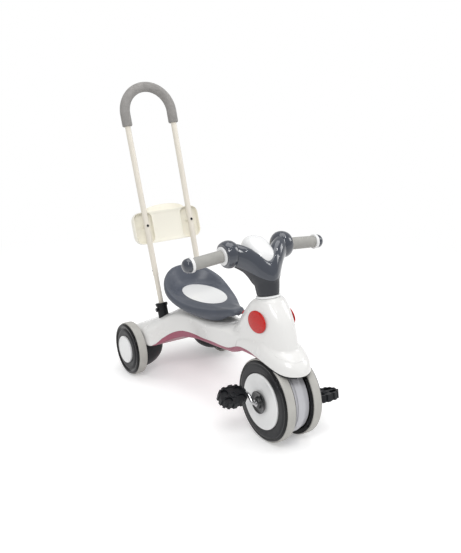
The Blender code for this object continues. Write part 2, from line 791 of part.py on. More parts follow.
def make_mudguard():
    """The white mudguard, open under the head, and the dark liner inside it."""
    open_end = Vector((0, 0.01, 0))
    guard = add_object("front_mudguard", lofted(arch_rings(0)), white_gloss())
    inside = arch_rings(ARCH_WALL, below=0.01)
    inside[0] = [point + open_end for point in inside[0]]
    boolean(guard, helper(lofted(inside)), "DIFFERENCE")
    boolean(guard, helper(edge_block(white_line(), BODY_SECTIONS[0][0], 0.2, -FACE_GAP, True)), "DIFFERENCE")
    boolean(guard, helper(head_loft(-FACE_GAP, HEAD_SECTIONS[0][0] - 0.02)), "DIFFERENCE")

    outside = SHELL_WALL + LINER_GAP
    rear = WHEEL_WELL_END - FACE_GAP
    shape = arch_rings(outside, LINER_RISE, 0.0, LINER_UNDER_EDGE, rear)
    liner = add_object("mudguard_liner", lofted(shape), black_plastic())
    inside = arch_rings(outside + LINER_WALL, LINER_RISE, 0.01, LINER_UNDER_EDGE + LINER_WALL, rear)
    inside[0] = [point + open_end for point in inside[0]]
    boolean(liner, helper(lofted(inside)), "DIFFERENCE")
    boolean(liner, helper(on_axis(0.12, 0.2, STEM_RADIUS + LINER_HOLE_GAP)), "DIFFERENCE")


def make_bushes():
    """The neck ring that the handlebar column turns over, and the hidden lower bush."""
    bore = bush_bore()
    spigot = bore + BUSH_SPIGOT_WALL
    top = COLLAR_BOTTOM - RUN_GAP
    upper = [
        (HEAD_TOP - 0.020, bore), (HEAD_TOP - 0.020, spigot), (HEAD_TOP + FACE_GAP, spigot),
        (HEAD_TOP + FACE_GAP, NECK_RING_RADIUS), (top - 0.002, NECK_RING_RADIUS),
        (top, NECK_RING_RADIUS - 0.002),
        (top, bore),
    ]
    bm = turned(upper, COLUMN_STEPS, place=steering_matrix(), round_out=True)
    add_object("neck_bush_upper", bm, white_gloss())
    seat_at = BOSS_BOTTOM - FACE_GAP
    lower = [
        (seat_at - BUSH_FLANGE, bore), (seat_at - BUSH_FLANGE, LOWER_BUSH_FLANGE_RADIUS),
        (seat_at, LOWER_BUSH_FLANGE_RADIUS), (seat_at, spigot), (seat_at + 0.016, spigot),
        (seat_at + 0.016, bore),
    ]
    bm = turned(lower, COLUMN_STEPS, place=steering_matrix(), round_out=True)
    add_object("neck_bush_lower", bm, black_plastic())


def reflector_place(side):
    x, y, z = REFLECTOR_CENTRE
    turn = Matrix.Rotation(side * math.pi / 2, 4, "Y")
    lean = Matrix.Rotation(-side * REFLECTOR_PITCH, 4, "Y") @ Matrix.Rotation(-side * REFLECTOR_YAW, 4, "Z")
    return Matrix.Translation(raised((side * x, y, z))) @ lean @ turn


def oval_disc(low, high, half_length, half_height, place, rounded=0.0):
    """An oval plate along its own z, with its outer edge rounded by one chamfer."""
    rings = []
    levels = [(low, 0.0), (high - rounded, 0.0)]
    if rounded:
        levels.append((high, rounded))
    for level, shrink in levels:
        ring = oval(half_length - shrink, half_height - shrink, 2.0, OVAL_STEPS)
        rings.append([place @ Vector((x, y, level)) for x, y in ring])
    return lofted(rings)


def make_reflectors(upper):
    """Each reflector lies in a bezel on the head's flat side."""
    half_length = REFLECTOR_LENGTH / 2
    half_height = REFLECTOR_HEIGHT / 2
    for word, side in SIDES:
        place = reflector_place(side)
        rim = REFLECTOR_BEZEL
        pad = oval_disc(-0.0045, 0.0005, half_length + rim, half_height + rim, place)
        boolean(upper, helper(pad), "UNION")
        recess = oval_disc(-0.0015, 0.01, half_length + FACE_GAP, half_height + FACE_GAP, place)
        boolean(upper, helper(recess), "DIFFERENCE")
        low = FACE_GAP - 0.0015
        lens = oval_disc(low, low + REFLECTOR_THICKNESS, half_length, half_height, place, 0.0010)
        add_object(f"reflector_{word}", lens, reflector_red())


def make_rear_plug(upper):
    """A small red plug pressed into the head's rear slope, in front of the saddle's nose."""
    place = Matrix.Translation(raised(PLUG_AT)) @ Matrix.Rotation(PLUG_TILT, 4, "X")
    bore = PLUG_SPIGOT_RADIUS + FACE_GAP
    hole = [(-0.012, 0), (-0.012, bore), (0.02, bore), (0.02, 0)]
    boolean(upper, helper(turned(hole, TUBE_STEPS, place=place, round_out=True)), "DIFFERENCE")
    seat_hole = [(0, 0), (0, PLUG_RADIUS + FACE_GAP), (0.02, PLUG_RADIUS + FACE_GAP), (0.02, 0)]
    boolean(upper, helper(turned(seat_hole, SHAFT_STEPS, place=place, round_out=True)), "DIFFERENCE")
    plug = [
        (-0.008, 0), (-0.008, PLUG_SPIGOT_RADIUS), (FACE_GAP, PLUG_SPIGOT_RADIUS), (FACE_GAP, PLUG_RADIUS),
        (0.006, PLUG_RADIUS), (0.009, PLUG_RADIUS * 0.7), (0.010, 0),
    ]
    add_object("head_rear_plug", turned(plug, SHAFT_STEPS, place=place), reflector_red())


def saddle_curve(count):
    """The saddle's outline as a smooth closed curve of (x, y, rim, skirt) points."""
    lift = front_lift()
    half = [Vector((x, placed(y, 0)[0], rim + lift, skirt + lift)) for x, y, rim, skirt in SADDLE_OUTLINE]
    mirrored = [Vector((-p[0], p[1], p[2], p[3])) for p in reversed(half[1:-1])]
    loop = half + mirrored
    points = []
    for step in range(count):
        index, t = divmod(step * len(loop) / count, 1)
        p0, p1, p2, p3 = (loop[(int(index) + shift) % len(loop)] for shift in (-1, 0, 1, 2))
        points.append(
            p1
            + (p2 - p0) * (0.5 * t)
            + (p0 * 2 - p1 * 5 + p2 * 4 - p3) * (0.5 * t * t)
            + (p1 * 3 - p0 - p2 * 3 + p3) * (0.5 * t * t * t)
        )
    return points


def saddle_rings():
    """Rings from the middle of the dish over the rim, down the skirt and back under the dish."""
    centre = Vector((0, placed(SADDLE_CENTRE, 0)[0]))
    floor = SADDLE_FLOOR + front_lift()
    wall = SADDLE_WALL
    curve = saddle_curve(SADDLE_STEPS)
    dish = ((0.45, 0.00), (0.64, 0.14), (0.82, 0.58), (0.92, 0.92))
    rings = []

    def ring(scale, height, shrink=0.0):
        points = []
        for x, y, rim, skirt in curve:
            way = Vector((x, y)) - centre
            flat = centre + way * scale - way.normalized() * shrink
            points.append(Vector((flat.x, flat.y, height(rim, skirt))))
        rings.append(points)

    for scale, share in dish:
        ring(scale, lambda rim, skirt, share=share: floor + (rim - floor) * share)
    ring(0.960, lambda rim, skirt: rim)
    ring(0.990, lambda rim, skirt: rim - 0.004)
    ring(1.0, lambda rim, skirt: rim - 0.013)
    ring(SADDLE_SKIRT_SHARE, lambda rim, skirt: skirt)
    ring(SADDLE_SKIRT_SHARE, lambda rim, skirt: skirt, wall)
    ring(1.0, lambda rim, skirt: rim - 0.018, wall * 1.2)
    for scale, share in reversed(dish):
        ring(scale, lambda rim, skirt, share=share: floor - wall + (rim - floor - 0.002) * share, wall * 0.5)
    return rings


def make_saddle(upper):
    """The dished saddle, its oval inlay and the bolts that hold it on the body."""
    floor = SADDLE_FLOOR + front_lift()
    saddle = add_object("saddle", lofted(saddle_rings()), saddle_satin())
    place = Matrix.Translation((0, placed(INLAY_CENTRE, 0)[0], floor))
    depth = INLAY_THICKNESS
    half_length = INLAY_LENGTH / 2
    half_width = INLAY_WIDTH / 2
    crown = [placed(section[0], section[5]) for section in BODY_SECTIONS]
    boss_top = floor - SADDLE_WALL / 2
    hole_top = floor - SADDLE_WALL - SADDLE_WALL / 2
    bore = BOLT_RADIUS + FACE_GAP
    for number, station in enumerate(SADDLE_BOSSES, 1):
        y = placed(station, 0)[0]
        under_boss = [height_on(crown, y + reach) for reach in (-SADDLE_BOSS_RADIUS, 0, SADDLE_BOSS_RADIUS)]
        low = max(under_boss) + FACE_GAP
        boss = [(low, 0), (low, SADDLE_BOSS_RADIUS), (boss_top, SADDLE_BOSS_RADIUS), (boss_top, 0)]
        post = Matrix.Translation((0, y, 0))
        boolean(saddle, helper(turned(boss, SHAFT_STEPS, place=post)), "UNION")
        hole = [(low - 0.05, 0), (low - 0.05, bore), (hole_top, bore), (hole_top, 0)]
        boolean(saddle, helper(turned(hole, TUBE_STEPS, place=post, round_out=True)), "DIFFERENCE")
        boolean(upper, helper(turned(hole, TUBE_STEPS, place=post, round_out=True)), "DIFFERENCE")
        under = min(under_boss) - SHELL_WALL - FACE_GAP - BOLT_HEAD_CLEARANCE
        bolt_top = hole_top - BOLT_END_CLEARANCE
        bolt = [
            (under - BOLT_HEAD, 0), (under - BOLT_HEAD, BOLT_HEAD_RADIUS), (under, BOLT_HEAD_RADIUS),
            (under, BOLT_RADIUS), (bolt_top, BOLT_RADIUS), (bolt_top, 0),
        ]
        add_object(f"saddle_bolt_{number}", turned(bolt, TUBE_STEPS, place=post), steel())
    recess = oval_disc(-depth, 0.1, half_length + FACE_GAP, half_width + FACE_GAP, place)
    boolean(saddle, helper(recess), "DIFFERENCE")
    inlay = oval_disc(FACE_GAP - depth, FACE_GAP, half_length, half_width, place)
    add_object("saddle_inlay", inlay, white_gloss())


def make_axle_housings():
    """Half-round housings under the tail arms, each with the stub axle of its rear wheel."""
    top = REAR_TYRE_RADIUS + TAIL_OVER_AXLE - FACE_GAP
    wall = HOUSING_WALL
    depth = HOUSING_FACE - HOUSING_TIP
    angles = [math.pi / 2 * step / HOUSING_RINGS for step in range(HOUSING_RINGS, 0, -1)]
    shape = [(1 - math.cos(angle), math.sin(angle)) for angle in angles]
    for word, side in SIDES:
        place = axle_place(WHEELBASE, REAR_TYRE_RADIUS)
        bore = STUB_AXLE_RADIUS + FACE_GAP
        outer = [(HOUSING_TIP + depth * along, HOUSING_RADIUS * radius) for along, radius in shape]
        inner_depth = depth - 2 * wall
        inner_radius = HOUSING_RADIUS - wall
        tip = HOUSING_TIP + wall
        inner = [(tip + inner_depth * along, inner_radius * radius) for along, radius in reversed(shape)]
        profile = [(tip, 0)] + inner
        profile += [
            (HOUSING_FACE - wall, HOUSING_BOSS_RADIUS), (STUB_AXLE_INNER, HOUSING_BOSS_RADIUS),
            (STUB_AXLE_INNER, bore), (HOUSING_FACE, bore),
        ]
        profile += outer + [(HOUSING_TIP, 0)]
        housing = turned(sided(profile, side), HOUSING_STEPS, "X", place, True)
        housing = add_object(f"axle_housing_{word}", housing, black_plastic())
        boolean(housing, helper(box((-0.3, 0.3, top), (0.3, WHEELBASE + 0.2, 0.4))), "DIFFERENCE")
        start = STUB_AXLE_INNER + STUB_AXLE_RECESS
        end = REAR_CAP_FACE - STUB_AXLE_CLEARANCE
        axle = [(start, 0), (start, STUB_AXLE_RADIUS), (end, STUB_AXLE_RADIUS), (end, 0)]
        add_object(f"stub_axle_{word}", turned(sided(axle, side), TUBE_STEPS, "X", place), steel())


def make_rear_wheels():
    bore = STUB_AXLE_RADIUS + RUN_GAP
    seat_radius = REAR_TYRE_SEAT_RADIUS
    cap_seat = REAR_OUTER_FACE - 0.0015
    body = [
        (REAR_INNER_FACE, bore), (REAR_INNER_FACE, REAR_HUB_RADIUS),
        (REAR_WEB_AT, REAR_HUB_RADIUS + 0.001), (REAR_WEB_AT, seat_radius - 0.0087),
        (REAR_TYRE_INNER, seat_radius - 0.0050), (REAR_TYRE_INNER, seat_radius),
        (REAR_TYRE_OUTER, seat_radius),
        (REAR_TYRE_OUTER, REAR_TYRE_RADIUS - 0.0032), (REAR_OUTER_FACE - 0.0045, REAR_TYRE_RADIUS - 0.0022),
        (REAR_OUTER_FACE, REAR_TYRE_RADIUS - 0.0080), (REAR_OUTER_FACE - 0.0035, REAR_TYRE_RADIUS * 0.8),
        (REAR_OUTER_FACE, REAR_TYRE_RADIUS * 0.8 - 0.0080), (cap_seat, REAR_CAP_RADIUS), (cap_seat, bore),
    ]
    tyre = [
        (REAR_TYRE_INNER + FACE_GAP, seat_radius + FACE_GAP),
        (REAR_TYRE_INNER + FACE_GAP, REAR_TYRE_RADIUS - 0.0015),
        (REAR_TYRE_INNER + 0.0020, REAR_TYRE_RADIUS), (REAR_TYRE_OUTER - 0.0020, REAR_TYRE_RADIUS),
        (REAR_TYRE_OUTER - FACE_GAP, REAR_TYRE_RADIUS - 0.0015),
        (REAR_TYRE_OUTER - FACE_GAP, seat_radius + FACE_GAP),
    ]
    pocket = REAR_CAP_FACE - 0.0032
    cap = [
        (pocket, 0), (pocket, bore), (cap_seat + FACE_GAP, bore),
        (cap_seat + FACE_GAP, REAR_CAP_RADIUS - 0.0003),
        (REAR_CAP_FACE - 0.0015, REAR_CAP_RADIUS - 0.0003), (REAR_CAP_FACE, REAR_CAP_RADIUS - 0.0020),
        (REAR_CAP_FACE, REAR_CAP_RADIUS - 0.0050), (REAR_CAP_FACE - 0.0008, REAR_CAP_RADIUS - 0.0065),
        (REAR_CAP_FACE - 0.0008, 0),
    ]
    place = axle_place(WHEELBASE, REAR_TYRE_RADIUS)
    for word, side in SIDES:
        frame = f"rear_axle_{word}"
        turned_body = turned(sided(body, side), WHEEL_STEPS, "X", place, True)
        add_object(f"rear_wheel_{word}", turned_body, wheel_black(), frame)
        turned_tyre = turned(sided(tyre, side), WHEEL_STEPS, "X", place, True)
        add_object(f"rear_tyre_{word}", turned_tyre, tread_grey(), frame)
        turned_cap = turned(sided(cap, side), WHEEL_STEPS, "X", place, True)
        add_object(f"rear_cap_{word}", turned_cap, white_gloss(), frame)


def make_front_wheel():
    """Two wheel halves on one bent rod, each with its tyre, cover and hub cone."""
    bore = CRANK_ROD_RADIUS + FACE_GAP
    seat_radius = FRONT_TYRE_SEAT_RADIUS
    flange = FRONT_TYRE_RADIUS - 0.0040
    lip = FRONT_TYRE_RADIUS - 0.0035
    cover_seat = FRONT_COVER_RADIUS + 0.0005
    cover_face = FRONT_WEB_FACE + FACE_GAP + FRONT_COVER_THICKNESS
    cone_base = cover_face + 0.0005
    body = [
        (cone_base + 0.001, bore), (cone_base + 0.001, HUB_NOSE_RADIUS), (FRONT_WEB_FACE, HUB_NOSE_RADIUS),
        (FRONT_WEB_FACE, cover_seat), (FRONT_RIM_FACE, cover_seat),
        (FRONT_RIM_FACE - 0.0004, cover_seat + 0.0175),
        (FRONT_RIM_FACE - 0.0017, seat_radius - 0.0035), (FRONT_RIM_FACE - 0.0037, flange - 0.0035),
        (FRONT_TYRE_OUTER, flange),
        (FRONT_TYRE_OUTER, seat_radius), (FRONT_TYRE_INNER, seat_radius), (FRONT_TYRE_INNER, lip),
        (FRONT_INNER_FACE, lip), (FRONT_INNER_FACE, seat_radius - 0.0060),
        (FRONT_TYRE_OUTER, seat_radius - 0.0040),
        (FRONT_TYRE_OUTER, HUB_BOSS_RADIUS + 0.001), (FRONT_INNER_FACE + 0.0015, HUB_BOSS_RADIUS),
        (FRONT_INNER_FACE + 0.0015, bore),
    ]
    inner = FRONT_TYRE_INNER + FACE_GAP
    outer = FRONT_TYRE_OUTER - FACE_GAP
    tyre = [
        (inner, seat_radius + FACE_GAP), (inner, FRONT_TYRE_RADIUS - 0.0020),
        (inner + 0.0020, FRONT_TYRE_RADIUS),
        (outer - 0.0035, FRONT_TYRE_RADIUS), (outer - 0.0010, FRONT_TYRE_RADIUS - 0.0010),
        (outer, FRONT_TYRE_RADIUS - 0.0030), (outer, seat_radius + FACE_GAP),
    ]
    hole = HUB_NOSE_RADIUS + FACE_GAP
    cover_back = FRONT_WEB_FACE + FACE_GAP
    cover = [
        (cover_back, hole), (cover_back, FRONT_COVER_RADIUS), (cover_face - 0.0010, FRONT_COVER_RADIUS),
        (cover_face, FRONT_COVER_RADIUS - 0.0015), (cover_face, FRONT_COVER_RADIUS - COVER_RIM),
        (cover_face - COVER_DISH, FRONT_COVER_RADIUS - 2 * COVER_RIM),
        (cover_face - COVER_DISH, FRONT_COVER_RADIUS - 4 * COVER_RIM),
        (cover_face, HUB_CONE_BASE_RADIUS + 0.002), (cover_face, hole),
    ]
    cone = [
        (cone_base + 0.001 + FACE_GAP, bore), (cone_base + 0.001 + FACE_GAP, HUB_NOSE_RADIUS + 0.001),
        (cone_base, HUB_NOSE_RADIUS + 0.001), (cone_base, HUB_CONE_BASE_RADIUS),
        (cone_base + 0.002, HUB_CONE_BASE_RADIUS), (cone_base + 0.006, HUB_CONE_SHOULDER_RADIUS),
        (HUB_CONE_TIP - 0.002, HUB_CONE_TIP_RADIUS + 0.003), (HUB_CONE_TIP, HUB_CONE_TIP_RADIUS),
        (HUB_CONE_TIP, bore),
    ]
    place = axle_place(0, FRONT_TYRE_RADIUS)
    for word, side in SIDES:
        for name, profile, made_of, steps in (
            ("front_wheel", body, wheel_black(), WHEEL_STEPS),
            ("front_tyre", tyre, tread_grey(), WHEEL_STEPS),
            ("front_cover", cover, white_gloss(), WHEEL_STEPS),
            ("hub_cone", cone, black_plastic(), COLUMN_STEPS),
        ):
            piece = turned(sided(profile, side), steps, "X", place, True)
            add_object(f"{name}_{word}", piece, made_of, "front_axle")


def rounded_path(corners, radius, steps):
    """A path through corners that are rounded to one radius."""
    path = [corners[0]]
    for before, corner, after in zip(corners, corners[1:], corners[2:]):
        inward = (before - corner).normalized()
        outward = (after - corner).normalized()
        half = inward.angle(outward) / 2
        trim = radius / math.tan(half)
        middle = corner + (inward + outward).normalized() * (radius / math.sin(half))
        start = corner + inward * trim - middle
        end = corner + outward * trim - middle
        turn = start.angle(end)
        axis = start.cross(end).normalized()
        for step in range(steps + 1):
            path.append(middle + Matrix.Rotation(turn * step / steps, 3, axis) @ start)
    path.append(corners[-1])
    return path


def make_crank():
    """One steel rod: axle, two arms in opposite directions and two pedal pins."""
    corners = []
    axle_z = FRONT_TYRE_RADIUS
    for side in (-1, 1):
        pin_y, pin_z = crank_pin(side)
        ends = [
            Vector((side * CRANK_PIN_END, pin_y, pin_z)), Vector((side * CRANK_ARM_AT, pin_y, pin_z)),
            Vector((side * CRANK_ARM_AT, 0, axle_z)),
        ]
        corners += ends if side < 0 else ends[::-1]
    path = rounded_path(corners, CRANK_BEND_RADIUS, 4)
    add_object("crank_rod", tube_along(path, CRANK_ROD_RADIUS), steel(), "front_axle")


def pedal_outline(shrink):
    """The pedal seen from above: a squared oval with teeth all round, as (x, y)."""
    points = []
    per_tooth = 4
    count = PEDAL_TEETH * per_tooth
    for step in range(count):
        angle = 2 * math.pi * step / count
        low = PEDAL_TOOTH if step % per_tooth in (2, 3) else 0.0
        x = math.copysign(abs(math.cos(angle)) ** 0.72, math.cos(angle))
        y = math.copysign(abs(math.sin(angle)) ** 0.72, math.sin(angle))
        half_x = PEDAL_WIDTH / 2 - low - shrink
        half_y = PEDAL_LENGTH / 2 - low - shrink
        points.append((half_x * x, half_y * y))
    return points


def make_pedals():
    bore = CRANK_ROD_RADIUS + RUN_GAP
    for word, side in SIDES:
        pin_y, pin_z = crank_pin(side)
        middle = side * (PEDAL_INNER + PEDAL_WIDTH / 2)
        levels = (
            (-PEDAL_THICKNESS / 2, 0.010), (-PEDAL_EDGE_THICKNESS / 2, 0.0), (PEDAL_EDGE_THICKNESS / 2, 0.0),
            (PEDAL_THICKNESS / 2, 0.010),
        )
        rings = []
        for level, shrink in levels:
            rings.append([Vector((middle + x, y, level)) for x, y in pedal_outline(shrink)])
        bm = lofted(rings)
        bm.transform(axle_place(pin_y, pin_z) @ Matrix.Rotation(PEDAL_PITCH[word], 4, "X"))
        pedal = add_object(f"pedal_{word}", bm, black_plastic(), f"pedal_pin_{word}")
        start = PEDAL_INNER - PEDAL_TOOTH
        end = CRANK_PIN_END + RUN_GAP
        pin_seat = sided([(start, 0), (start, bore), (end, bore), (end, 0)], side)
        tool = turned(pin_seat, SHAFT_STEPS, "X", axle_place(pin_y, pin_z), True)
        in_frame(pedal, tool, "DIFFERENCE")


def in_frame(target, bm, operation):
    """A Boolean on a piece whose mesh is kept in its empty's frame."""
    bm.transform(FRAMES[target["frame"]].inverted())
    boolean(target, helper(bm), operation)


def make_fork_stem():
    """A straight steel tube with the axle's sleeve welded across its foot."""
    place = steering_matrix()
    inner = STEM_RADIUS - STEM_WALL
    profile = [
        (0, 0), (0, STEM_RADIUS), (STEM_TOP, STEM_RADIUS), (STEM_TOP, inner), (STEM_BLIND_END, inner),
        (STEM_BLIND_END, 0),
    ]
    stem = add_object("fork_stem", turned(profile, COLUMN_STEPS, place=place), steel(), "steering_axis")
    half = FRONT_INNER_FACE + 0.0010
    axle = axle_place(0, FRONT_TYRE_RADIUS)
    sleeve = [(-half, 0), (-half, FORK_SLEEVE_RADIUS), (half, FORK_SLEEVE_RADIUS), (half, 0)]
    in_frame(stem, turned(sleeve, SHAFT_STEPS, "X", axle), "UNION")
    bore = CRANK_ROD_RADIUS + RUN_GAP
    hole = [(-0.05, 0), (-0.05, bore), (0.05, bore), (0.05, 0)]
    in_frame(stem, turned(hole, SHAFT_STEPS, "X", axle, True), "DIFFERENCE")


def make_shrouds():
    """Two dished halves that close the gap between the tyres and stand still on the fork."""
    face = FRONT_INNER_FACE - SIDE_GAP
    wall = DRUM_WALL
    profile = [
        (FACE_GAP / 2, DRUM_RADIUS), (DRUM_STEP_AT, DRUM_RADIUS), (DRUM_STEP_AT, DRUM_SHOULDER_RADIUS),
        (face, DRUM_SHOULDER_RADIUS), (face, DRUM_HUB_HOLE), (face - wall, DRUM_HUB_HOLE),
        (face - wall, DRUM_SHOULDER_RADIUS - wall), (DRUM_STEP_AT - wall, DRUM_SHOULDER_RADIUS - wall),
        (FACE_GAP / 2, DRUM_RADIUS - wall),
    ]
    place = axle_place(0, FRONT_TYRE_RADIUS)
    for word, side in SIDES:
        shroud = turned(sided(profile, side), WHEEL_STEPS, "X", place)
        shroud = add_object(f"fork_shroud_{word}", shroud, drum_grey(), "steering_axis")
        in_frame(shroud, on_axis(0.05, 0.15, STEM_RADIUS + FACE_GAP), "DIFFERENCE")


def bulb_profile(grow):
    """The knob at an arm's end, as (across, radius) points; grow makes the tool that cuts its seat."""
    shape = (
        (0.00, 0.00), (0.05, 0.42), (0.17, 0.72), (0.38, 0.95), (0.62, 1.00), (0.85, 0.96), (1.00, 0.87),
    )
    length = BULB_FACE - BULB_INNER
    return [(BULB_INNER - grow + length * along, (BULB_RADIUS + grow) * radius) for along, radius in shape]


def handlebar_block(grow):
    """Column and both arms as one solid; grow widens it to cut clearance into its neighbours."""
    column = (
        (COLLAR_BOTTOM, COLLAR_RADIUS - 0.0015), (COLLAR_BOTTOM + 0.003, COLLAR_RADIUS),
        (COLLAR_BOTTOM + 0.024, COLUMN_RADIUS - 0.0020), (COLLAR_BOTTOM + 0.044, COLUMN_RADIUS),
        (STEM_TOP, COLUMN_RADIUS), (STEM_TOP + 0.012, 0.0290), (STEM_TOP + 0.020, 0.0180),
        (STEM_TOP + 0.022, 0),
    )
    profile = [(COLLAR_BOTTOM - grow, 0)]
    profile += [(along, radius + grow if radius else 0) for along, radius in column]
    block = helper(turned(profile, COLUMN_STEPS, place=steering_matrix()))
    arms = [(-x, *rest) for x, *rest in reversed(ARM_SECTIONS[1:])] + list(ARM_SECTIONS)
    turn = Matrix.Rotation(-STEERING_LEAN, 3, "X")
    rings = []
    for x, y, z, rise, depth in arms:
        section = oval(depth + grow, rise + grow, 2.0, 16)
        rings.append([raised((x, y, z)) + turn @ Vector((0, along, up)) for up, along in section])
    boolean(block, helper(lofted(rings)), "UNION")
    return block


def seam_block(offset, above):
    """Half space above or below the handlebar's seam plane."""
    ends = (-0.3, 0.6)
    line = [(y, SEAM_Z + front_lift() + SEAM_SLOPE * (y - SEAM_Y)) for y in ends]
    return edge_block(line, *ends, offset, above)


def bar_place(side):
    """Where a grip and its knob sit: they lean down a little towards the bar's end."""
    pivot = raised((side * BAR_PIVOT, BAR_Y, BAR_Z + BAR_LIFT))
    back = Matrix.Translation((-side * BAR_PIVOT, 0, 0))
    return Matrix.Translation(pivot) @ Matrix.Rotation(side * BAR_DROOP, 4, "Y") @ back


def make_handlebar():
    """Lower housing and upper cover share one shape, split along a seam, with the dome between the arms."""
    for name, made_of, above, offset in (
        ("handlebar_lower_housing", slate_satin(), True, -FACE_GAP / 2),
        ("handlebar_upper_cover", slate_gloss(), False, FACE_GAP / 2),
    ):
        piece = handlebar_block(0)
        piece.name = name
        piece.data.materials.append(made_of)
        for _, side in SIDES:
            knob = bulb_profile(FACE_GAP)
            knob.append((0.2, knob[-1][1]))
            knob.append((0.2, 0))
            seat_tool = turned(sided(knob, side), COLUMN_STEPS, "X", bar_place(side), True)
            boolean(piece, helper(seat_tool), "DIFFERENCE")
        boolean(piece, helper(seam_block(offset, above)), "DIFFERENCE")
        boolean(piece, helper(on_axis(COLLAR_BOTTOM - 0.01, STEM_TOP + FACE_GAP, bush_bore())), "DIFFERENCE")
        seat(piece, "steering_axis")

    bm = bmesh.new()
    bmesh.ops.create_uvsphere(bm, u_segments=20, v_segments=12, radius=1.0)
    tilt = Matrix.Rotation(DOME_TILT, 4, "X")
    bm.transform(Matrix.Translation(raised(DOME_CENTRE)) @ tilt @ Matrix.Diagonal((*DOME_SIZE, 1)))
    dome = add_object("handlebar_dome", bm, white_gloss())
    boolean(dome, handlebar_block(FACE_GAP), "DIFFERENCE")
    keep_largest(dome)
    seat(dome, "steering_axis")


def keep_largest(obj):
    """Keeps the biggest connected piece of a mesh, where a cut left crumbs."""
    bm = bmesh.new()
    bm.from_mesh(obj.data)
    left = set(bm.verts)
    groups = []
    while left:
        stack = [left.pop()]
        group = set(stack)
        while stack:
            for edge in stack.pop().link_edges:
                for vert in edge.verts:
                    if vert not in group:
                        group.add(vert)
                        stack.append(vert)
        left -= group
        groups.append(group)
    groups.sort(key=len)
    for group in groups[:-1]:
        bmesh.ops.delete(bm, geom=list(group), context="VERTS")
    bm.to_mesh(obj.data)
    bm.free()


def make_grips():
    """On each side: knob, white core with its two flanges, grey grip sleeve and dark end cap."""
    core = GRIP_CORE_RADIUS
    flange_in = BULB_FACE + FACE_GAP
    flange_out = flange_in + GRIP_FLANGE
    ring_in = flange_out + GRIP_LENGTH
    ring_out = ring_in + GRIP_RING
    plug_end = BULB_FACE - GRIP_PLUG_LENGTH
    plug_bore = GRIP_PLUG_RADIUS + FACE_GAP
    bore_end = plug_end - FACE_GAP
    knob = bulb_profile(0) + [(BULB_FACE, plug_bore), (bore_end, plug_bore), (bore_end, 0)]
    white = [
        (plug_end, 0), (plug_end, GRIP_PLUG_RADIUS), (flange_in, GRIP_PLUG_RADIUS),
        (flange_in, GRIP_FLANGE_RADIUS),
        (flange_out - 0.0015, GRIP_FLANGE_RADIUS), (flange_out, GRIP_FLANGE_RADIUS - 0.0015),
        (flange_out, core),
        (ring_in, core), (ring_in, GRIP_RING_RADIUS - 0.0010), (ring_in + 0.0010, GRIP_RING_RADIUS),
        (ring_out, GRIP_RING_RADIUS), (ring_out, 0),
    ]
    sleeve = [
        (flange_out + FACE_GAP, core + FACE_GAP), (flange_out + FACE_GAP, GRIP_RADIUS),
        (ring_in - FACE_GAP, GRIP_RADIUS), (ring_in - FACE_GAP, core + FACE_GAP),
    ]
    start = ring_out + FACE_GAP
    dome = ((0.0, 0.0), (0.0, 1.0), (0.40, 0.96), (0.72, 0.78), (0.92, 0.46), (1.0, 0.0))
    cap = [(start + END_CAP_LENGTH * along, END_CAP_RADIUS * radius) for along, radius in dome]
    for word, side in SIDES:
        for name, profile, made_of in (
            ("bar_knob", knob, slate_gloss()), ("grip_core", white, white_gloss()),
            ("hand_grip", sleeve, grip_grey()), ("grip_end_cap", cap, slate_satin()),
        ):
            piece = turned(sided(profile, side), COLUMN_STEPS, "X", bar_place(side))
            add_object(f"{name}_{word}", piece, made_of, "steering_axis")


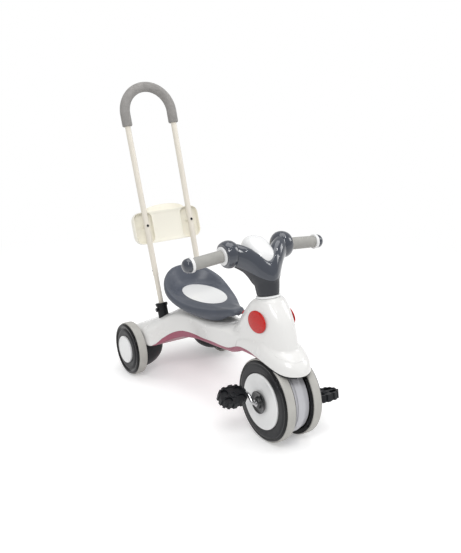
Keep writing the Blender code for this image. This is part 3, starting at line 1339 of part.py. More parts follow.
def make_handle_feet(upper):
    """Sockets, lower tubes and the sprung buttons that lock them."""
    tube_radius = UPPER_TUBE_RADIUS - UPPER_TUBE_WALL - FACE_GAP
    tube_bore = tube_radius - LOWER_TUBE_WALL
    socket_bore = tube_radius + FACE_GAP
    for word, side in SIDES:
        place = leg_matrix(side)
        through = [(SOCKET_BOTTOM - 0.05, 0), (SOCKET_BOTTOM - 0.05, SOCKET_RADIUS + FACE_GAP),
                   (SOCKET_TOP, SOCKET_RADIUS + FACE_GAP), (SOCKET_TOP, 0)]
        boolean(upper, helper(turned(through, SHAFT_STEPS, place=place, round_out=True)), "DIFFERENCE")
        profile = [
            (SOCKET_BOTTOM, 0), (SOCKET_BOTTOM, SOCKET_RADIUS), (SOCKET_TOP - SOCKET_LIP, SOCKET_RADIUS),
            (SOCKET_TOP - SOCKET_LIP + 0.001, SOCKET_LIP_RADIUS), (SOCKET_TOP - 0.001, SOCKET_LIP_RADIUS),
            (SOCKET_TOP, SOCKET_LIP_RADIUS - 0.001), (SOCKET_TOP, socket_bore),
            (LOWER_TUBE_START - FACE_GAP, socket_bore), (LOWER_TUBE_START - FACE_GAP, 0),
        ]
        barrel = turned(profile, SHAFT_STEPS, place=place)
        socket = add_object(f"handle_socket_{word}", barrel, black_plastic())
        across = place @ Matrix.Translation((0, 0, BUTTON_AT))
        reach = SOCKET_SIDE_BOSS_OUT
        boss = [(0.012, 0), (0.012, SOCKET_SIDE_BOSS_RADIUS), (reach, SOCKET_SIDE_BOSS_RADIUS), (reach, 0)]
        boolean(socket, helper(turned(sided(boss, side), TUBE_STEPS, "X", across)), "UNION")
        button_bore = BUTTON_RADIUS + RUN_GAP / 2
        bore = [(0.002, 0), (0.002, button_bore), (0.05, button_bore), (0.05, 0)]
        boolean(socket, helper(turned(sided(bore, side), TUBE_STEPS, "X", across, True)), "DIFFERENCE")

        line = [place @ Vector((0, 0, LOWER_TUBE_START)), place @ Vector((0, 0, TUBE_JOINT + TUBE_OVERLAP))]
        tube = add_object(f"handle_lower_tube_{word}", tube_along(line, tube_radius, tube_bore), pole_cream())
        boolean(tube, helper(turned(sided(bore, side), TUBE_STEPS, "X", across, True)), "DIFFERENCE")
        inner_end = tube_bore - 0.001
        tip = reach + BUTTON_PROUD
        button = [
            (inner_end, 0), (inner_end, BUTTON_RADIUS), (tip - 0.001, BUTTON_RADIUS),
            (tip, BUTTON_RADIUS - 0.001),
            (tip, 0),
        ]
        button = turned(sided(button, side), TUBE_STEPS, "X", across)
        add_object(f"lock_button_{word}", button, steel(), f"button_axis_{word}")


def bow_path(start, steps):
    """Up one leg of the push handle, over the bow and down the other, from a height on the legs."""
    place = handle_matrix()
    share = start / ARC_CENTRE
    foot = SOCKET_HALF_TRACK + (BOW_RADIUS - SOCKET_HALF_TRACK) * share
    path = [Vector((-foot, 0, start))]
    for step in range(steps + 1):
        angle = math.pi * step / steps
        path.append(Vector((-BOW_RADIUS * math.cos(angle), 0, ARC_CENTRE + BOW_RADIUS * math.sin(angle))))
    path.append(Vector((foot, 0, start)))
    return [place @ point for point in path]


def make_push_bow():
    """The upper tube in one bow, its foam sleeve and the holes for the backrest's screws."""
    path = bow_path(TUBE_JOINT, 12)
    bore = UPPER_TUBE_RADIUS - UPPER_TUBE_WALL
    bow = add_object("push_bow", tube_along(path, UPPER_TUBE_RADIUS, bore), pole_cream())
    for _, side in SIDES:
        hole = [(-0.03, 0), (-0.03, SCREW_RADIUS + FACE_GAP), (0.03, SCREW_RADIUS + FACE_GAP), (0.03, 0)]
        place = leg_matrix(side) @ Matrix.Translation((0, 0, SCREW_AT)) @ Matrix.Rotation(math.pi / 2, 4, "X")
        boolean(bow, helper(turned(hole, 8, place=place)), "DIFFERENCE")
    foam_bore = UPPER_TUBE_RADIUS + FACE_GAP
    foam = tube_along(bow_path(FOAM_START, 12), FOAM_RADIUS, foam_bore)
    add_object("push_grip_foam", foam, foam_grey())


def plate_outline(half_width, bottom, top, corner, steps=4):
    """A rounded rectangle in x and z."""
    points = []
    for centre_x, centre_z, start in (
        (half_width - corner, top - corner, 0), (-half_width + corner, top - corner, 90),
        (-half_width + corner, bottom + corner, 180), (half_width - corner, bottom + corner, 270),
    ):
        for step in range(steps + 1):
            angle = math.radians(start + 90 * step / steps)
            points.append((centre_x + corner * math.cos(angle), centre_z + corner * math.sin(angle)))
    return points


def plate_block(outline, front, back, place):
    return lofted([[place @ Vector((x, y, z)) for x, z in outline] for y in (front, back)])


def make_backrest():
    """A tray behind the legs: two open wings, a closed middle and a crowned tab along the top."""
    place = handle_matrix()
    wall = BACKREST_WALL
    front = UPPER_TUBE_RADIUS + FACE_GAP
    back = front + BACKREST_DEPTH
    outline = plate_outline(BACKREST_HALF_WIDTH, BACKREST_BOTTOM, BACKREST_TOP, BACKREST_CORNER)
    panel = add_object("backrest", plate_block(outline, front, back, place), panel_cream())
    crown = []
    for step in range(9):
        angle = math.pi * step / 8
        rise = (BACKREST_CROWN - BACKREST_TOP + wall) * math.sin(angle)
        crown.append((BACKREST_CROWN_HALF_WIDTH * math.cos(angle), BACKREST_TOP - wall + rise))
    boolean(panel, helper(plate_block(crown, back - wall - 0.001, back - 0.0005, place)), "UNION")
    gap = BACKREST_CENTRE_HALF_WIDTH
    for _, side in SIDES:
        width = (BACKREST_HALF_WIDTH - wall - gap) / 2
        centre = side * (gap + width)
        pocket = plate_outline(width, BACKREST_BOTTOM + wall, BACKREST_TOP - wall, 0.018)
        pocket = [(x + centre, z) for x, z in pocket]
        boolean(panel, helper(plate_block(pocket, front - 0.01, back - wall, place)), "DIFFERENCE")
    middle = plate_outline(gap - wall, BACKREST_BOTTOM + wall, BACKREST_TOP - wall, 0.006)
    boolean(panel, helper(plate_block(middle, front + wall, back + 0.01, place)), "DIFFERENCE")
    for word, side in SIDES:
        turn = Matrix.Rotation(-math.pi / 2, 4, "X")
        axis = leg_matrix(side) @ Matrix.Translation((0, 0, SCREW_AT)) @ turn
        boss = [(front, 0), (front, 0.0055), (back - 0.001, 0.0055), (back - 0.001, 0)]
        boolean(panel, helper(turned(boss, TUBE_STEPS, place=axis)), "UNION")
        bore = SCREW_RADIUS + FACE_GAP
        hole = [(-0.01, 0), (-0.01, bore), (back - 0.0015, bore), (back - 0.0015, 0)]
        boolean(panel, helper(turned(hole, 8, place=axis)), "DIFFERENCE")
        seat_at = -UPPER_TUBE_RADIUS - FACE_GAP
        screw = [
            (seat_at - SCREW_HEAD, 0), (seat_at - SCREW_HEAD, SCREW_HEAD_RADIUS - 0.001),
            (seat_at - SCREW_HEAD + 0.001, SCREW_HEAD_RADIUS), (seat_at, SCREW_HEAD_RADIUS),
            (seat_at, SCREW_RADIUS),
            (back - 0.004, SCREW_RADIUS), (back - 0.004, 0),
        ]
        add_object(f"backrest_screw_{word}", turned(screw, 8, place=axis), black_plastic())


def place_in_scene(empties):
    """Parents every object to its empty and centres the whole tricycle over the origin."""
    low = 1e9
    high = -1e9
    for obj in bpy.data.objects:
        if obj.type != "MESH":
            continue
        frame = FRAMES[obj["frame"]]
        ys = [(frame @ vert.co).y for vert in obj.data.vertices]
        low = min(low, min(ys))
        high = max(high, max(ys))
        obj.parent = empties[obj["frame"]]
        del obj["frame"]
    empties["tricycle"].location.y = -(low + high) / 2


def main():
    clear_scene()
    upper = make_body_shells()
    make_mudguard()
    make_bushes()
    make_reflectors(upper)
    make_rear_plug(upper)
    make_saddle(upper)
    make_handle_feet(upper)
    make_axle_housings()
    make_rear_wheels()
    make_front_wheel()
    make_crank()
    make_pedals()
    make_fork_stem()
    make_shrouds()
    make_handlebar()
    make_grips()
    make_push_bow()
    make_backrest()
    place_in_scene(make_empties())


main()
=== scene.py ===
"""Toddler tricycle with a push handle: its dressed pieces, their finishes and a pale studio round them."""

import math

import bmesh
import bpy
from mathutils import Matrix, Vector


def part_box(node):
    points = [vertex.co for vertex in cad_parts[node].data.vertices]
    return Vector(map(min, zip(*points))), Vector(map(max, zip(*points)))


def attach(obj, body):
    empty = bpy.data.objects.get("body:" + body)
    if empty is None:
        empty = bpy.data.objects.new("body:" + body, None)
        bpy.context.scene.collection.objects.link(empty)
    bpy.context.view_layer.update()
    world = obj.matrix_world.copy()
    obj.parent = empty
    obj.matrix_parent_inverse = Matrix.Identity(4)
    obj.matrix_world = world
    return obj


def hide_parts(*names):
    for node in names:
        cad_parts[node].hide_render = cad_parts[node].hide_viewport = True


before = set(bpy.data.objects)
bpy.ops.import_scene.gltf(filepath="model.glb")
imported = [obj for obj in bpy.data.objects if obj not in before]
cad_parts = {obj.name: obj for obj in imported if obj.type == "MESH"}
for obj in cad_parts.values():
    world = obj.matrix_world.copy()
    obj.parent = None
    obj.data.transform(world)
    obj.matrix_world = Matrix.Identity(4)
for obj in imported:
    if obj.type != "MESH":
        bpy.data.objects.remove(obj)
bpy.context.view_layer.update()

# Pieces are shaped with y = 0 on the front axle, and moved to the frame's own place when they are finished
AXLE_Y = (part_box("front_tyre_left")[0].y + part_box("front_tyre_left")[1].y) / 2
TO_FRAME = Matrix.Translation((0, AXLE_Y, 0))
SIDES = (("left", 1), ("right", -1))

WHEELBASE = 0.583
FRONT_RADIUS = 0.118
REAR_RADIUS = 0.085
LEAN = math.radians(12.5)
QUARTER = math.pi / 2
STEERING = Matrix.Translation((0, 0, FRONT_RADIUS)) @ Matrix.Rotation(-LEAN, 4, "X")
FRONT_AXLE = Matrix.Translation((0, 0, FRONT_RADIUS)) @ Matrix.Rotation(QUARTER, 4, "Y")
REAR_AXLE = Matrix.Translation((0, WHEELBASE, REAR_RADIUS)) @ Matrix.Rotation(QUARTER, 4, "Y")
UNMOVED = Matrix()

# Push handle: its foot and slope, half the gap between its legs at the foot and at the bow, how far along it the
# bow's centre, the panel's screws, the lock buttons and the small detents are, and the radii of its fittings
HANDLE = Matrix.Translation((0, 0.530, 0.200)) @ Matrix.Rotation(-math.atan(0.345), 4, "X")
HALF_TRACK = 0.0775
BOW_RADIUS = 0.083
ARC_CENTRE = 0.647
SCREW_ALONG = 0.2877
BUTTON_ALONG = 0.018
DETENT_ALONG = 0.1435
SOCKET_RADIUS = 0.0165
SCREW_WAY = 0.0023
BUTTON_RADIUS = 0.0030

# Side reflectors: half sizes, air round them, depth of their seats, and how they lean with the head
LENS_SIZE = (0.0298, 0.0397)
LENS_AIR = 0.0005
LENS_DEPTH = 0.0012
LENS_TILT = math.radians(6)
LENS_YAW = math.radians(1)

# Where the grips turn down from the line of the bar, and by how much
BAR_PIVOT = (0.081, 0.125, 0.5095)
BAR_DROOP = math.radians(4.7)

# Crank: its throw, the turn of its pins at rest, how far out its webs and pin ends are, and the bent rod's radius
CRANK_THROW = 0.036
CRANK_TURN = math.radians(43)
WEB_OUT = 0.0895
PIN_END = 0.168
ROD_RADIUS = 0.005
PEDAL_OUT = 0.1385
PEDAL_PITCH = {"left": math.radians(-10), "right": math.radians(26)}

# Air between two pieces that meet, wall thicknesses, and sizes that reach past the sides and the back
GAP = 0.0003
SHELL_WALL = 0.0026
GUARD_WALL = 0.0024
LINER_WALL = 0.0018
SADDLE_WALL = 0.0032
PAST = 0.3
BEHIND = 0.9

# Angles, in degrees, up to which plain pieces and blended skins are shaded smooth
PLAIN_EDGES = 35
SKIN_EDGES = 40


def bar_place(side):
    """Where a grip and its knob sit: they lean down a little towards the bar's end."""
    out, y, z = BAR_PIVOT
    droop = Matrix.Rotation(side * BAR_DROOP, 4, "Y")
    pivot = Matrix.Translation((side * out, y, z))
    along = Matrix.Rotation(QUARTER, 4, "Y")
    return pivot @ droop @ Matrix.Translation((-side * out, 0, 0)) @ along


# ---- shaping helpers ----


def only(piece):
    """Makes a piece the one selected and active object."""
    if bpy.context.object and bpy.context.object.mode != "OBJECT":
        bpy.ops.object.mode_set(mode="OBJECT")
    bpy.ops.object.select_all(action="DESELECT")
    piece.select_set(True)
    bpy.context.view_layer.objects.active = piece
    return piece


def into_edit(piece):
    """Opens a piece for editing, with all of it selected."""
    only(piece)
    bpy.ops.object.mode_set(mode="EDIT")
    bpy.ops.mesh.select_all(action="SELECT")


def out_of_edit():
    bpy.ops.object.mode_set(mode="OBJECT")


def picked(piece, kind, test):
    """Selects the verts, edges or faces of an open piece that pass a test, and nothing else."""
    bpy.ops.mesh.select_all(action="DESELECT")
    bm = bmesh.from_edit_mesh(piece.data)
    for part in getattr(bm, kind):
        part.select_set(test(part))
    bmesh.update_edit_mesh(piece.data)


def started(name, add, **settings):
    """A piece that starts from one of Blender's own shapes."""
    bpy.ops.object.select_all(action="DESELECT")
    add(**settings)
    piece = bpy.context.object
    piece.name = name
    return piece


def faced_out():
    """Turns every face of the open piece outwards."""
    bpy.ops.mesh.select_all(action="SELECT")
    bpy.ops.mesh.normals_make_consistent(inside=False)


def heal(piece):
    """Merges doubles and turns every face outwards."""
    into_edit(piece)
    bpy.ops.mesh.remove_doubles(threshold=1e-6)
    faced_out()
    out_of_edit()
    return piece


def softened(profile, radius, steps=4, closed=False):
    """A profile whose corners are rounded, as far as the runs beside them allow."""
    points = [Vector(point) for point in profile]
    made = []
    for index, corner in enumerate(points):
        if not closed and index in (0, len(points) - 1):
            made.append(corner)
            continue
        before = points[index - 1] - corner
        after = points[(index + 1) % len(points)] - corner
        reach = min(radius, before.length * 0.45, after.length * 0.45)
        if reach < 1e-6:
            made.append(corner)
            continue
        start = corner + before.normalized() * reach
        end = corner + after.normalized() * reach
        for step in range(steps + 1):
            t = step / steps
            made.append(start * (1 - t) ** 2 + corner * (2 * t * (1 - t)) + end * t * t)
    return [(point.x, max(point.y, 0.0)) for point in made]


def turned(name, profile, place=UNMOVED, steps=96, soft=0.0008, corner_steps=4):
    """A turned piece: its half profile, as (along, radius), is drawn point by point and spun round z."""
    on_axis = profile[0][1] < 1e-7 and profile[-1][1] < 1e-7
    line = softened(profile, soft, corner_steps, not on_axis) if soft else profile
    piece = started(name, bpy.ops.mesh.primitive_plane_add, size=0.01)
    into_edit(piece)
    bpy.ops.mesh.merge(type="CENTER")
    at = Vector((line[0][1], 0, line[0][0]))
    bpy.ops.transform.translate(value=at)
    for along, radius in line[1:]:
        to = Vector((radius, 0, along))
        bpy.ops.mesh.extrude_region_move(TRANSFORM_OT_translate={"value": to - at})
        at = to
    if not on_axis:
        picked(piece, "verts", lambda vert: len(vert.link_edges) == 1)
        bpy.ops.mesh.edge_face_add()
    bpy.ops.mesh.select_all(action="SELECT")
    bpy.ops.mesh.spin(steps=steps, angle=2 * math.pi, center=(0, 0, 0), axis=(0, 0, 1))
    out_of_edit()
    heal(piece)
    piece.data.transform(place)
    return piece


def drill(radius, low, high, place, steps=48):
    """A plain round cutter along z."""
    return turned("drill", [(low, 0), (low, radius), (high, radius), (high, 0)], place, steps, 0)


def on_side(profile, side):
    """A profile drawn for the left side, or its mirror image for the right one."""
    return [(side * along, radius) for along, radius in profile]


def turned_set(word, side, place, body, *table):
    """The turned pieces of one side, from rows of name, profile, steps, corner radius, finish, slot and solid."""
    for name, profile, steps, soft, finish, slot, solid in table:
        piece = turned(f"{name}_{word}", on_side(profile, side), place, steps, soft)
        done(piece, body, finish, slot, *([f"{solid}_{word}"] if solid else []))


def laid(name, rows, closed=True, caps=True):
    """A grid laid over rows of points; a closed one wraps round, and its two ends are capped."""
    columns = len(rows[0]) + (1 if closed else 0)
    piece = started(name, bpy.ops.mesh.primitive_grid_add, x_subdivisions=columns - 1,
                    y_subdivisions=len(rows) - 1, size=1)
    flat = []
    for row in rows:
        for point in list(row) + ([row[0]] if closed else []):
            flat.extend(point)
    piece.data.vertices.foreach_set("co", flat)
    piece.data.update()
    if closed:
        into_edit(piece)
        bpy.ops.mesh.remove_doubles(threshold=1e-7)
        if caps:
            bpy.ops.mesh.select_all(action="DESELECT")
            bpy.ops.mesh.select_non_manifold(extend=False, use_wire=False, use_multi_face=False, use_verts=False)
            bpy.ops.mesh.fill_holes(sides=0)
            picked(piece, "faces", lambda face: len(face.verts) > 4)
            bpy.ops.mesh.poke()
        faced_out()
        out_of_edit()
    return piece


def domed_oval(name, half_x, half_y, levels, sides, place, lengthwise=1.0):
    """An oval plate with a rounded rim and a low dome, from rows of height and inset."""
    rows = []
    for level, inset in levels:
        outline = superoval(half_x - inset, half_y - inset * lengthwise, 2.0, sides)
        rows.append([tuple(place @ Vector((x, y, level))) for x, y in outline])
    return laid(name, rows)


def block(name, low, high, place=UNMOVED, soft=0.0):
    """A box between two corners, with rounded edges if soft is given."""
    piece = started(name, bpy.ops.mesh.primitive_cube_add, size=1)
    low = Vector(low)
    high = Vector(high)
    piece.data.transform(Matrix.Translation((low + high) / 2) @ Matrix.Diagonal((*(high - low), 1)))
    if soft:
        into_edit(piece)
        bpy.ops.mesh.bevel(offset=soft, segments=2, affect="EDGES")
        out_of_edit()
    piece.data.transform(place)
    return piece


def plate(name, outline, low, high, place=UNMOVED, soft=0.0, segments=2):
    """An outline filled and extruded along z, with rounded edges if soft is given."""
    piece = started(name, bpy.ops.mesh.primitive_circle_add, vertices=len(outline), radius=1, fill_type="NGON")
    for vert, (x, y) in zip(piece.data.vertices, outline):
        vert.co = (x, y, low)
    into_edit(piece)
    bpy.ops.mesh.extrude_region_move(TRANSFORM_OT_translate={"value": (0, 0, high - low)})
    faced_out()
    if soft:
        picked(piece, "edges", lambda edge: sum(abs(face.normal.z) > 0.9 for face in edge.link_faces) == 1)
        bpy.ops.mesh.bevel(offset=soft, segments=segments, affect="EDGES")
    out_of_edit()
    piece.data.transform(place)
    return piece


def apply_all(piece):
    only(piece)
    for modifier in list(piece.modifiers):
        bpy.ops.object.modifier_apply(modifier=modifier.name)
    return piece


def carve(piece, tool, operation="DIFFERENCE", open_cut=False):
    """Applies one Boolean and removes its tool. The faces of an open cut are marked, for opened() to take away."""
    mark = bpy.data.materials.get("cut_face") or bpy.data.materials.new("cut_face")
    if open_cut:
        if not piece.data.materials:
            piece.data.materials.append(bpy.data.materials.get("stock") or bpy.data.materials.new("stock"))
        tool.data.materials.clear()
        tool.data.materials.append(mark)
    modifier = piece.modifiers.new("carve", "BOOLEAN")
    modifier.operation = operation
    modifier.object = tool
    modifier.solver = "EXACT"
    modifier.material_mode = "TRANSFER" if open_cut else "INDEX"
    apply_all(piece)
    bpy.data.objects.remove(tool, do_unlink=True)
    return piece


def opened(piece):
    """Takes away the faces that open cuts left, so that the skin is open there."""
    marked = piece.data.materials.find("cut_face")
    into_edit(piece)
    picked(piece, "faces", lambda face: face.material_index == marked)
    bpy.ops.mesh.delete(type="FACE")
    out_of_edit()
    return piece


def blended(piece, voxel, rounds):
    """Turns joined solids into one even skin and eases the creases between them."""
    remesh = piece.modifiers.new("skin", "REMESH")
    remesh.mode = "VOXEL"
    remesh.voxel_size = voxel
    ease = piece.modifiers.new("ease", "SMOOTH")
    ease.factor = 0.5
    ease.iterations = rounds
    return apply_all(piece)


def walled(piece, thickness):
    """Gives an open skin a wall on its inner side."""
    wall = piece.modifiers.new("wall", "SOLIDIFY")
    wall.thickness = thickness
    wall.offset = -1.0
    return apply_all(piece)


def copied(piece, name):
    made = piece.copy()
    made.data = piece.data.copy()
    made.name = name
    bpy.context.scene.collection.objects.link(made)
    return made


def done(piece, body, finish, slot, *stands_for, angle=PLAIN_EDGES):
    """Gives a shaped piece its finish and its place on the tricycle, and hides the solids it stands for."""
    piece.data.materials.clear()
    piece.data.materials.append(finish)
    for polygon in piece.data.polygons:
        polygon.material_index = 0
    only(piece)
    bpy.ops.object.shade_smooth_by_angle(angle=math.radians(angle))
    piece.data.transform(TO_FRAME)
    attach(piece, body)
    if stands_for:
        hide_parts(*stands_for)
    piece.select_set(False)
    return piece


def eased(table, at):
    """The other values of a table at one value of its first, on smooth curves that don't overshoot."""
    if at <= table[0][0]:
        return list(table[0][1:])
    if at >= table[-1][0]:
        return list(table[-1][1:])
    index = max(i for i in range(len(table) - 1) if table[i][0] <= at)
    step = table[index + 1][0] - table[index][0]
    t = (at - table[index][0]) / step

    def slope(i, column):
        if i <= 0 or i >= len(table) - 1:
            near = 0 if i <= 0 else len(table) - 2
            return (table[near + 1][column] - table[near][column]) / (table[near + 1][0] - table[near][0])
        back = (table[i][column] - table[i - 1][column]) / (table[i][0] - table[i - 1][0])
        ahead = (table[i + 1][column] - table[i][column]) / (table[i + 1][0] - table[i][0])
        return 2 * back * ahead / (back + ahead) if back * ahead > 0 else 0.0

    made = []
    for column in range(1, len(table[0])):
        a = table[index][column]
        b = table[index + 1][column]
        h00 = (1 + 2 * t) * (1 - t) ** 2
        h10 = t * (1 - t) ** 2
        h01 = t * t * (3 - 2 * t)
        h11 = t * t * (t - 1)
        made.append(h00 * a + h10 * step * slope(index, column) + h01 * b + h11 * step * slope(index + 1, column))
    return made


def spread(low, high, count):
    return [low + (high - low) * step / (count - 1) for step in range(count)]


def oval_point(angle, power):
    """A point of a rounded oval of half width 1; a higher power makes it squarer."""
    x = math.copysign(abs(math.cos(angle)) ** (2 / power), math.cos(angle))
    y = math.copysign(abs(math.sin(angle)) ** (2 / power), math.sin(angle))
    return x, y


def superoval(half_x, half_y, power, count):
    """Points of a rounded oval, anticlockwise from its +x end."""
    points = [oval_point(2 * math.pi * step / count, power) for step in range(count)]
    return [(half_x * x, half_y * y) for x, y in points]


def arch(half_width, y, low, rise, steps):
    """A squarish arch across the tricycle at y, from left to right."""
    points = [oval_point(math.pi * step / steps, 2.5) for step in range(steps + 1)]
    return [(half_width * x, y, low + rise * z) for x, z in points]


def swept(name, path, radius, bore=0.0, sides=32):
    """A rod or tube along points, without twist."""
    rows = []
    side_way = None
    for index, point in enumerate(path):
        before = path[max(index - 1, 0)]
        after = path[min(index + 1, len(path) - 1)]
        along = (after - before).normalized()
        if side_way is None:
            side_way = along.orthogonal().normalized()
        side_way = (side_way - along * side_way.dot(along)).normalized()
        up_way = along.cross(side_way)
        rows.append((point, side_way.copy(), up_way))

    def ring(entry, size):
        point, side, up = entry
        turns = [2 * math.pi * step / sides for step in range(sides)]
        return [point + side * size * math.cos(turn) + up * size * math.sin(turn) for turn in turns]

    if not bore:
        rounded_end = 0.82 * radius
        return laid(name, [ring(rows[0], rounded_end)] + [ring(entry, radius) for entry in rows]
                    + [ring(rows[-1], rounded_end)])
    outer = [ring(entry, radius) for entry in rows]
    inner = [ring(entry, bore) for entry in rows]
    return heal(laid(name, outer + inner[::-1] + [outer[0]], caps=False))


def edge_block(name, line, end, offset, above):
    """A block above or below a line of (y, z) points, as far back as the end, to part a shell along it."""
    start = -PAST
    far = 1.0 if above else -0.5
    points = [(y, eased(line, y)[0] + offset) for y in spread(start, end, 120)]
    points += [(end, far), (start, far)]
    piece = laid(name, [[(x, y, z) for y, z in points] for x in (-0.5, 0.5)])
    into_edit(piece)
    bpy.ops.mesh.quads_convert_to_tris()
    out_of_edit()
    return piece


# ---- finishes ----


def new_finish(name, colour, roughness, metallic=0.0, coat=0.0, coat_roughness=0.06, specular=0.5):
    made = bpy.data.materials.new(name)
    made.use_nodes = True
    values = {"Base Color": (*colour, 1), "Roughness": roughness, "Metallic": metallic, "Coat Weight": coat,
              "Coat Roughness": coat_roughness, "Specular IOR Level": specular}
    for socket, value in values.items():
        shader_of(made).inputs[socket].default_value = value
    return made


def node(made, kind, **settings):
    """A new node, with values for its inputs or for its own settings."""
    added = made.node_tree.nodes.new(kind)
    for key, value in settings.items():
        if key in added.inputs:
            added.inputs[key].default_value = value
        else:
            setattr(added, key, value)
    return added


def link(made, output, target):
    made.node_tree.links.new(output, target)


def shader_of(made):
    return made.node_tree.nodes["Principled BSDF"]


def object_coordinates(made):
    return node(made, "ShaderNodeTexCoord").outputs["Object"]


def noise(made, scale, detail=2.0, roughness=0.5):
    texture = node(made, "ShaderNodeTexNoise", Scale=scale, Detail=detail, Roughness=roughness)
    link(made, object_coordinates(made), texture.inputs["Vector"])
    return texture.outputs["Fac"]


def ranged(made, value, low, high, start=0.3, end=0.7):
    """A value moved from one range, start to end, into another, low to high."""
    mapped = node(made, "ShaderNodeMapRange",
                  **{"From Min": start, "From Max": end, "To Min": low, "To Max": high})
    link(made, value, mapped.inputs["Value"])
    return mapped.outputs["Result"]


def roughened(made, value, low, high, start=0.3, end=0.7):
    link(made, ranged(made, value, low, high, start, end), shader_of(made).inputs["Roughness"])


def ringed(made, scale):
    """Fine rings, stacked along the axles and the bar."""
    wave = node(made, "ShaderNodeTexWave", Scale=scale, Distortion=0.0, bands_direction="X")
    link(made, object_coordinates(made), wave.inputs["Vector"])
    return wave.outputs["Fac"]


def celled(made, scale):
    cells = node(made, "ShaderNodeTexVoronoi", Scale=scale)
    link(made, object_coordinates(made), cells.inputs["Vector"])
    return cells.outputs["Distance"]


def tinted(made, value, low_colour, high_colour, start=0.3, end=0.7):
    """Base colour that drifts between two close tints."""
    ramp = node(made, "ShaderNodeValToRGB")
    ramp.color_ramp.elements[0].position = start
    ramp.color_ramp.elements[0].color = (*low_colour, 1)
    ramp.color_ramp.elements[1].position = end
    ramp.color_ramp.elements[1].color = (*high_colour, 1)
    link(made, value, ramp.inputs["Fac"])
    link(made, ramp.outputs["Color"], shader_of(made).inputs["Base Color"])


def bumped(made, height, strength, distance, under=None):
    bump = node(made, "ShaderNodeBump", Strength=strength, Distance=distance)
    link(made, height, bump.inputs["Height"])
    if under is not None:
        link(made, under, bump.inputs["Normal"])
    link(made, bump.outputs["Normal"], shader_of(made).inputs["Normal"])
    return bump.outputs["Normal"]


def shade(colour, factor):
    return tuple(min(1.0, value * factor) for value in colour)


def glossy_moulding(name, colour, roughness=0.22, coat=0.5):
    """Gloss-moulded plastic: a faint flow pattern, slight ripple and handling marks in the gloss."""
    made = new_finish(name, colour, roughness, coat=coat, coat_roughness=0.05)
    tinted(made, noise(made, 5, 3), shade(colour, 0.97), shade(colour, 1.015))
    roughened(made, noise(made, 14, 3), roughness * 0.93, roughness * 1.08)
    ripple = bumped(made, noise(made, 24, 1), 0.03, 0.0006)
    bumped(made, noise(made, 900, 2), 0.02, 0.0001, ripple)
    return made


def satin_moulding(name, colour, roughness, grain, depth, specular=0.45):
    """Spark-textured plastic with a fine even grain."""
    made = new_finish(name, colour, roughness, specular=specular)
    tinted(made, noise(made, 9, 4), shade(colour, 0.90), shade(colour, 1.08))
    roughened(made, noise(made, 35, 3), roughness * 0.85, roughness * 1.15)
    bumped(made, noise(made, grain, 3, 0.6), depth, 0.0003)
    return made


def tread_compound(name, colour):
    """Soft grey tread: fine rings round the wheel, moulding grain and a little floor dust."""
    made = new_finish(name, colour, 0.62, specular=0.35)
    tinted(made, noise(made, 30, 5, 0.6), shade(colour, 0.90), shade(colour, 1.05))
    rings = bumped(made, ringed(made, 95), 0.22, 0.0004)
    bumped(made, noise(made, 1100, 3, 0.6), 0.2, 0.0003, rings)
    roughened(made, noise(made, 50, 3), 0.54, 0.72)
    return made


def wheel_black(name, centre_y, centre_z, lip):
    """Wheel plastic: satin across the face and polished from its lip outwards, with painted sheen: the face's
    black is painted paler than the lip's.
    """
    made = new_finish(name, (0.011, 0.0115, 0.013), 0.34, specular=0.24)
    centred = node(made, "ShaderNodeMapping", Location=(0, -centre_y - AXLE_Y, -centre_z), Scale=(0, 1, 1))
    link(made, object_coordinates(made), centred.inputs["Vector"])
    reach = node(made, "ShaderNodeVectorMath", operation="LENGTH")
    link(made, centred.outputs["Vector"], reach.inputs[0])
    edge = (lip - 0.0010, lip + 0.0012)
    roughened(made, reach.outputs["Value"], 0.34, 0.10, *edge)
    # Painted sheen: the satin face gets a paler black than the polished lip, whose black is painted deeper
    face = node(made, "ShaderNodeMixRGB", blend_type="MIX", Color1=(0.0150, 0.0155, 0.0175, 1),
                Color2=(0.0050, 0.0052, 0.0060, 1))
    link(made, ranged(made, reach.outputs["Value"], 0, 1, *edge), face.inputs["Fac"])
    link(made, face.outputs["Color"], shader_of(made).inputs["Base Color"])
    grain = bumped(made, noise(made, 900, 3, 0.6), 0.05, 0.0002)
    bumped(made, noise(made, 40, 2), 0.03, 0.0006, grain)
    return made


def grip_rubber(name, colour):
    """Soft grip sleeve with fine turned ribs along the bar."""
    made = new_finish(name, colour, 0.58, specular=0.35)
    tinted(made, noise(made, 40, 4), shade(colour, 0.93), shade(colour, 1.05))
    ribs = bumped(made, ringed(made, 70), 0.10, 0.0004)
    bumped(made, noise(made, 1300, 2), 0.15, 0.0002, ribs)
    return made


def closed_cell_foam(name, colour):
    """Foam sleeve: small cells over a softly mottled grey."""
    made = new_finish(name, colour, 0.88, specular=0.25)
    tinted(made, noise(made, 60, 5, 0.7), shade(colour, 0.86), shade(colour, 1.10))
    cells = bumped(made, celled(made, 620), 0.55, 0.0006)
    bumped(made, noise(made, 240, 4, 0.7), 0.35, 0.0006, cells)
    shader_of(made).inputs["Sheen Weight"].default_value = 0.12
    return made


def powder_paint(name, colour):
    """Cream powder paint on steel tube, with its light orange peel."""
    made = new_finish(name, colour, 0.34, coat=0.25, coat_roughness=0.12)
    tinted(made, noise(made, 14, 3), shade(colour, 0.96), shade(colour, 1.03))
    peel = bumped(made, noise(made, 420, 2), 0.05, 0.0003)
    bumped(made, noise(made, 1500, 2), 0.03, 0.0002, peel)
    roughened(made, noise(made, 60, 3), 0.28, 0.42)
    return made


def clear_red_lens(name, colour):
    """Reflector lens: a grid of small prisms under a clear smooth face."""
    made = new_finish(name, colour, 0.12, coat=0.12, coat_roughness=0.03, specular=0.32)
    prisms = celled(made, 330)
    tinted(made, prisms, shade(colour, 1.12), shade(colour, 0.86), 0.1, 0.8)
    bumped(made, prisms, 0.10, 0.0003)
    return made


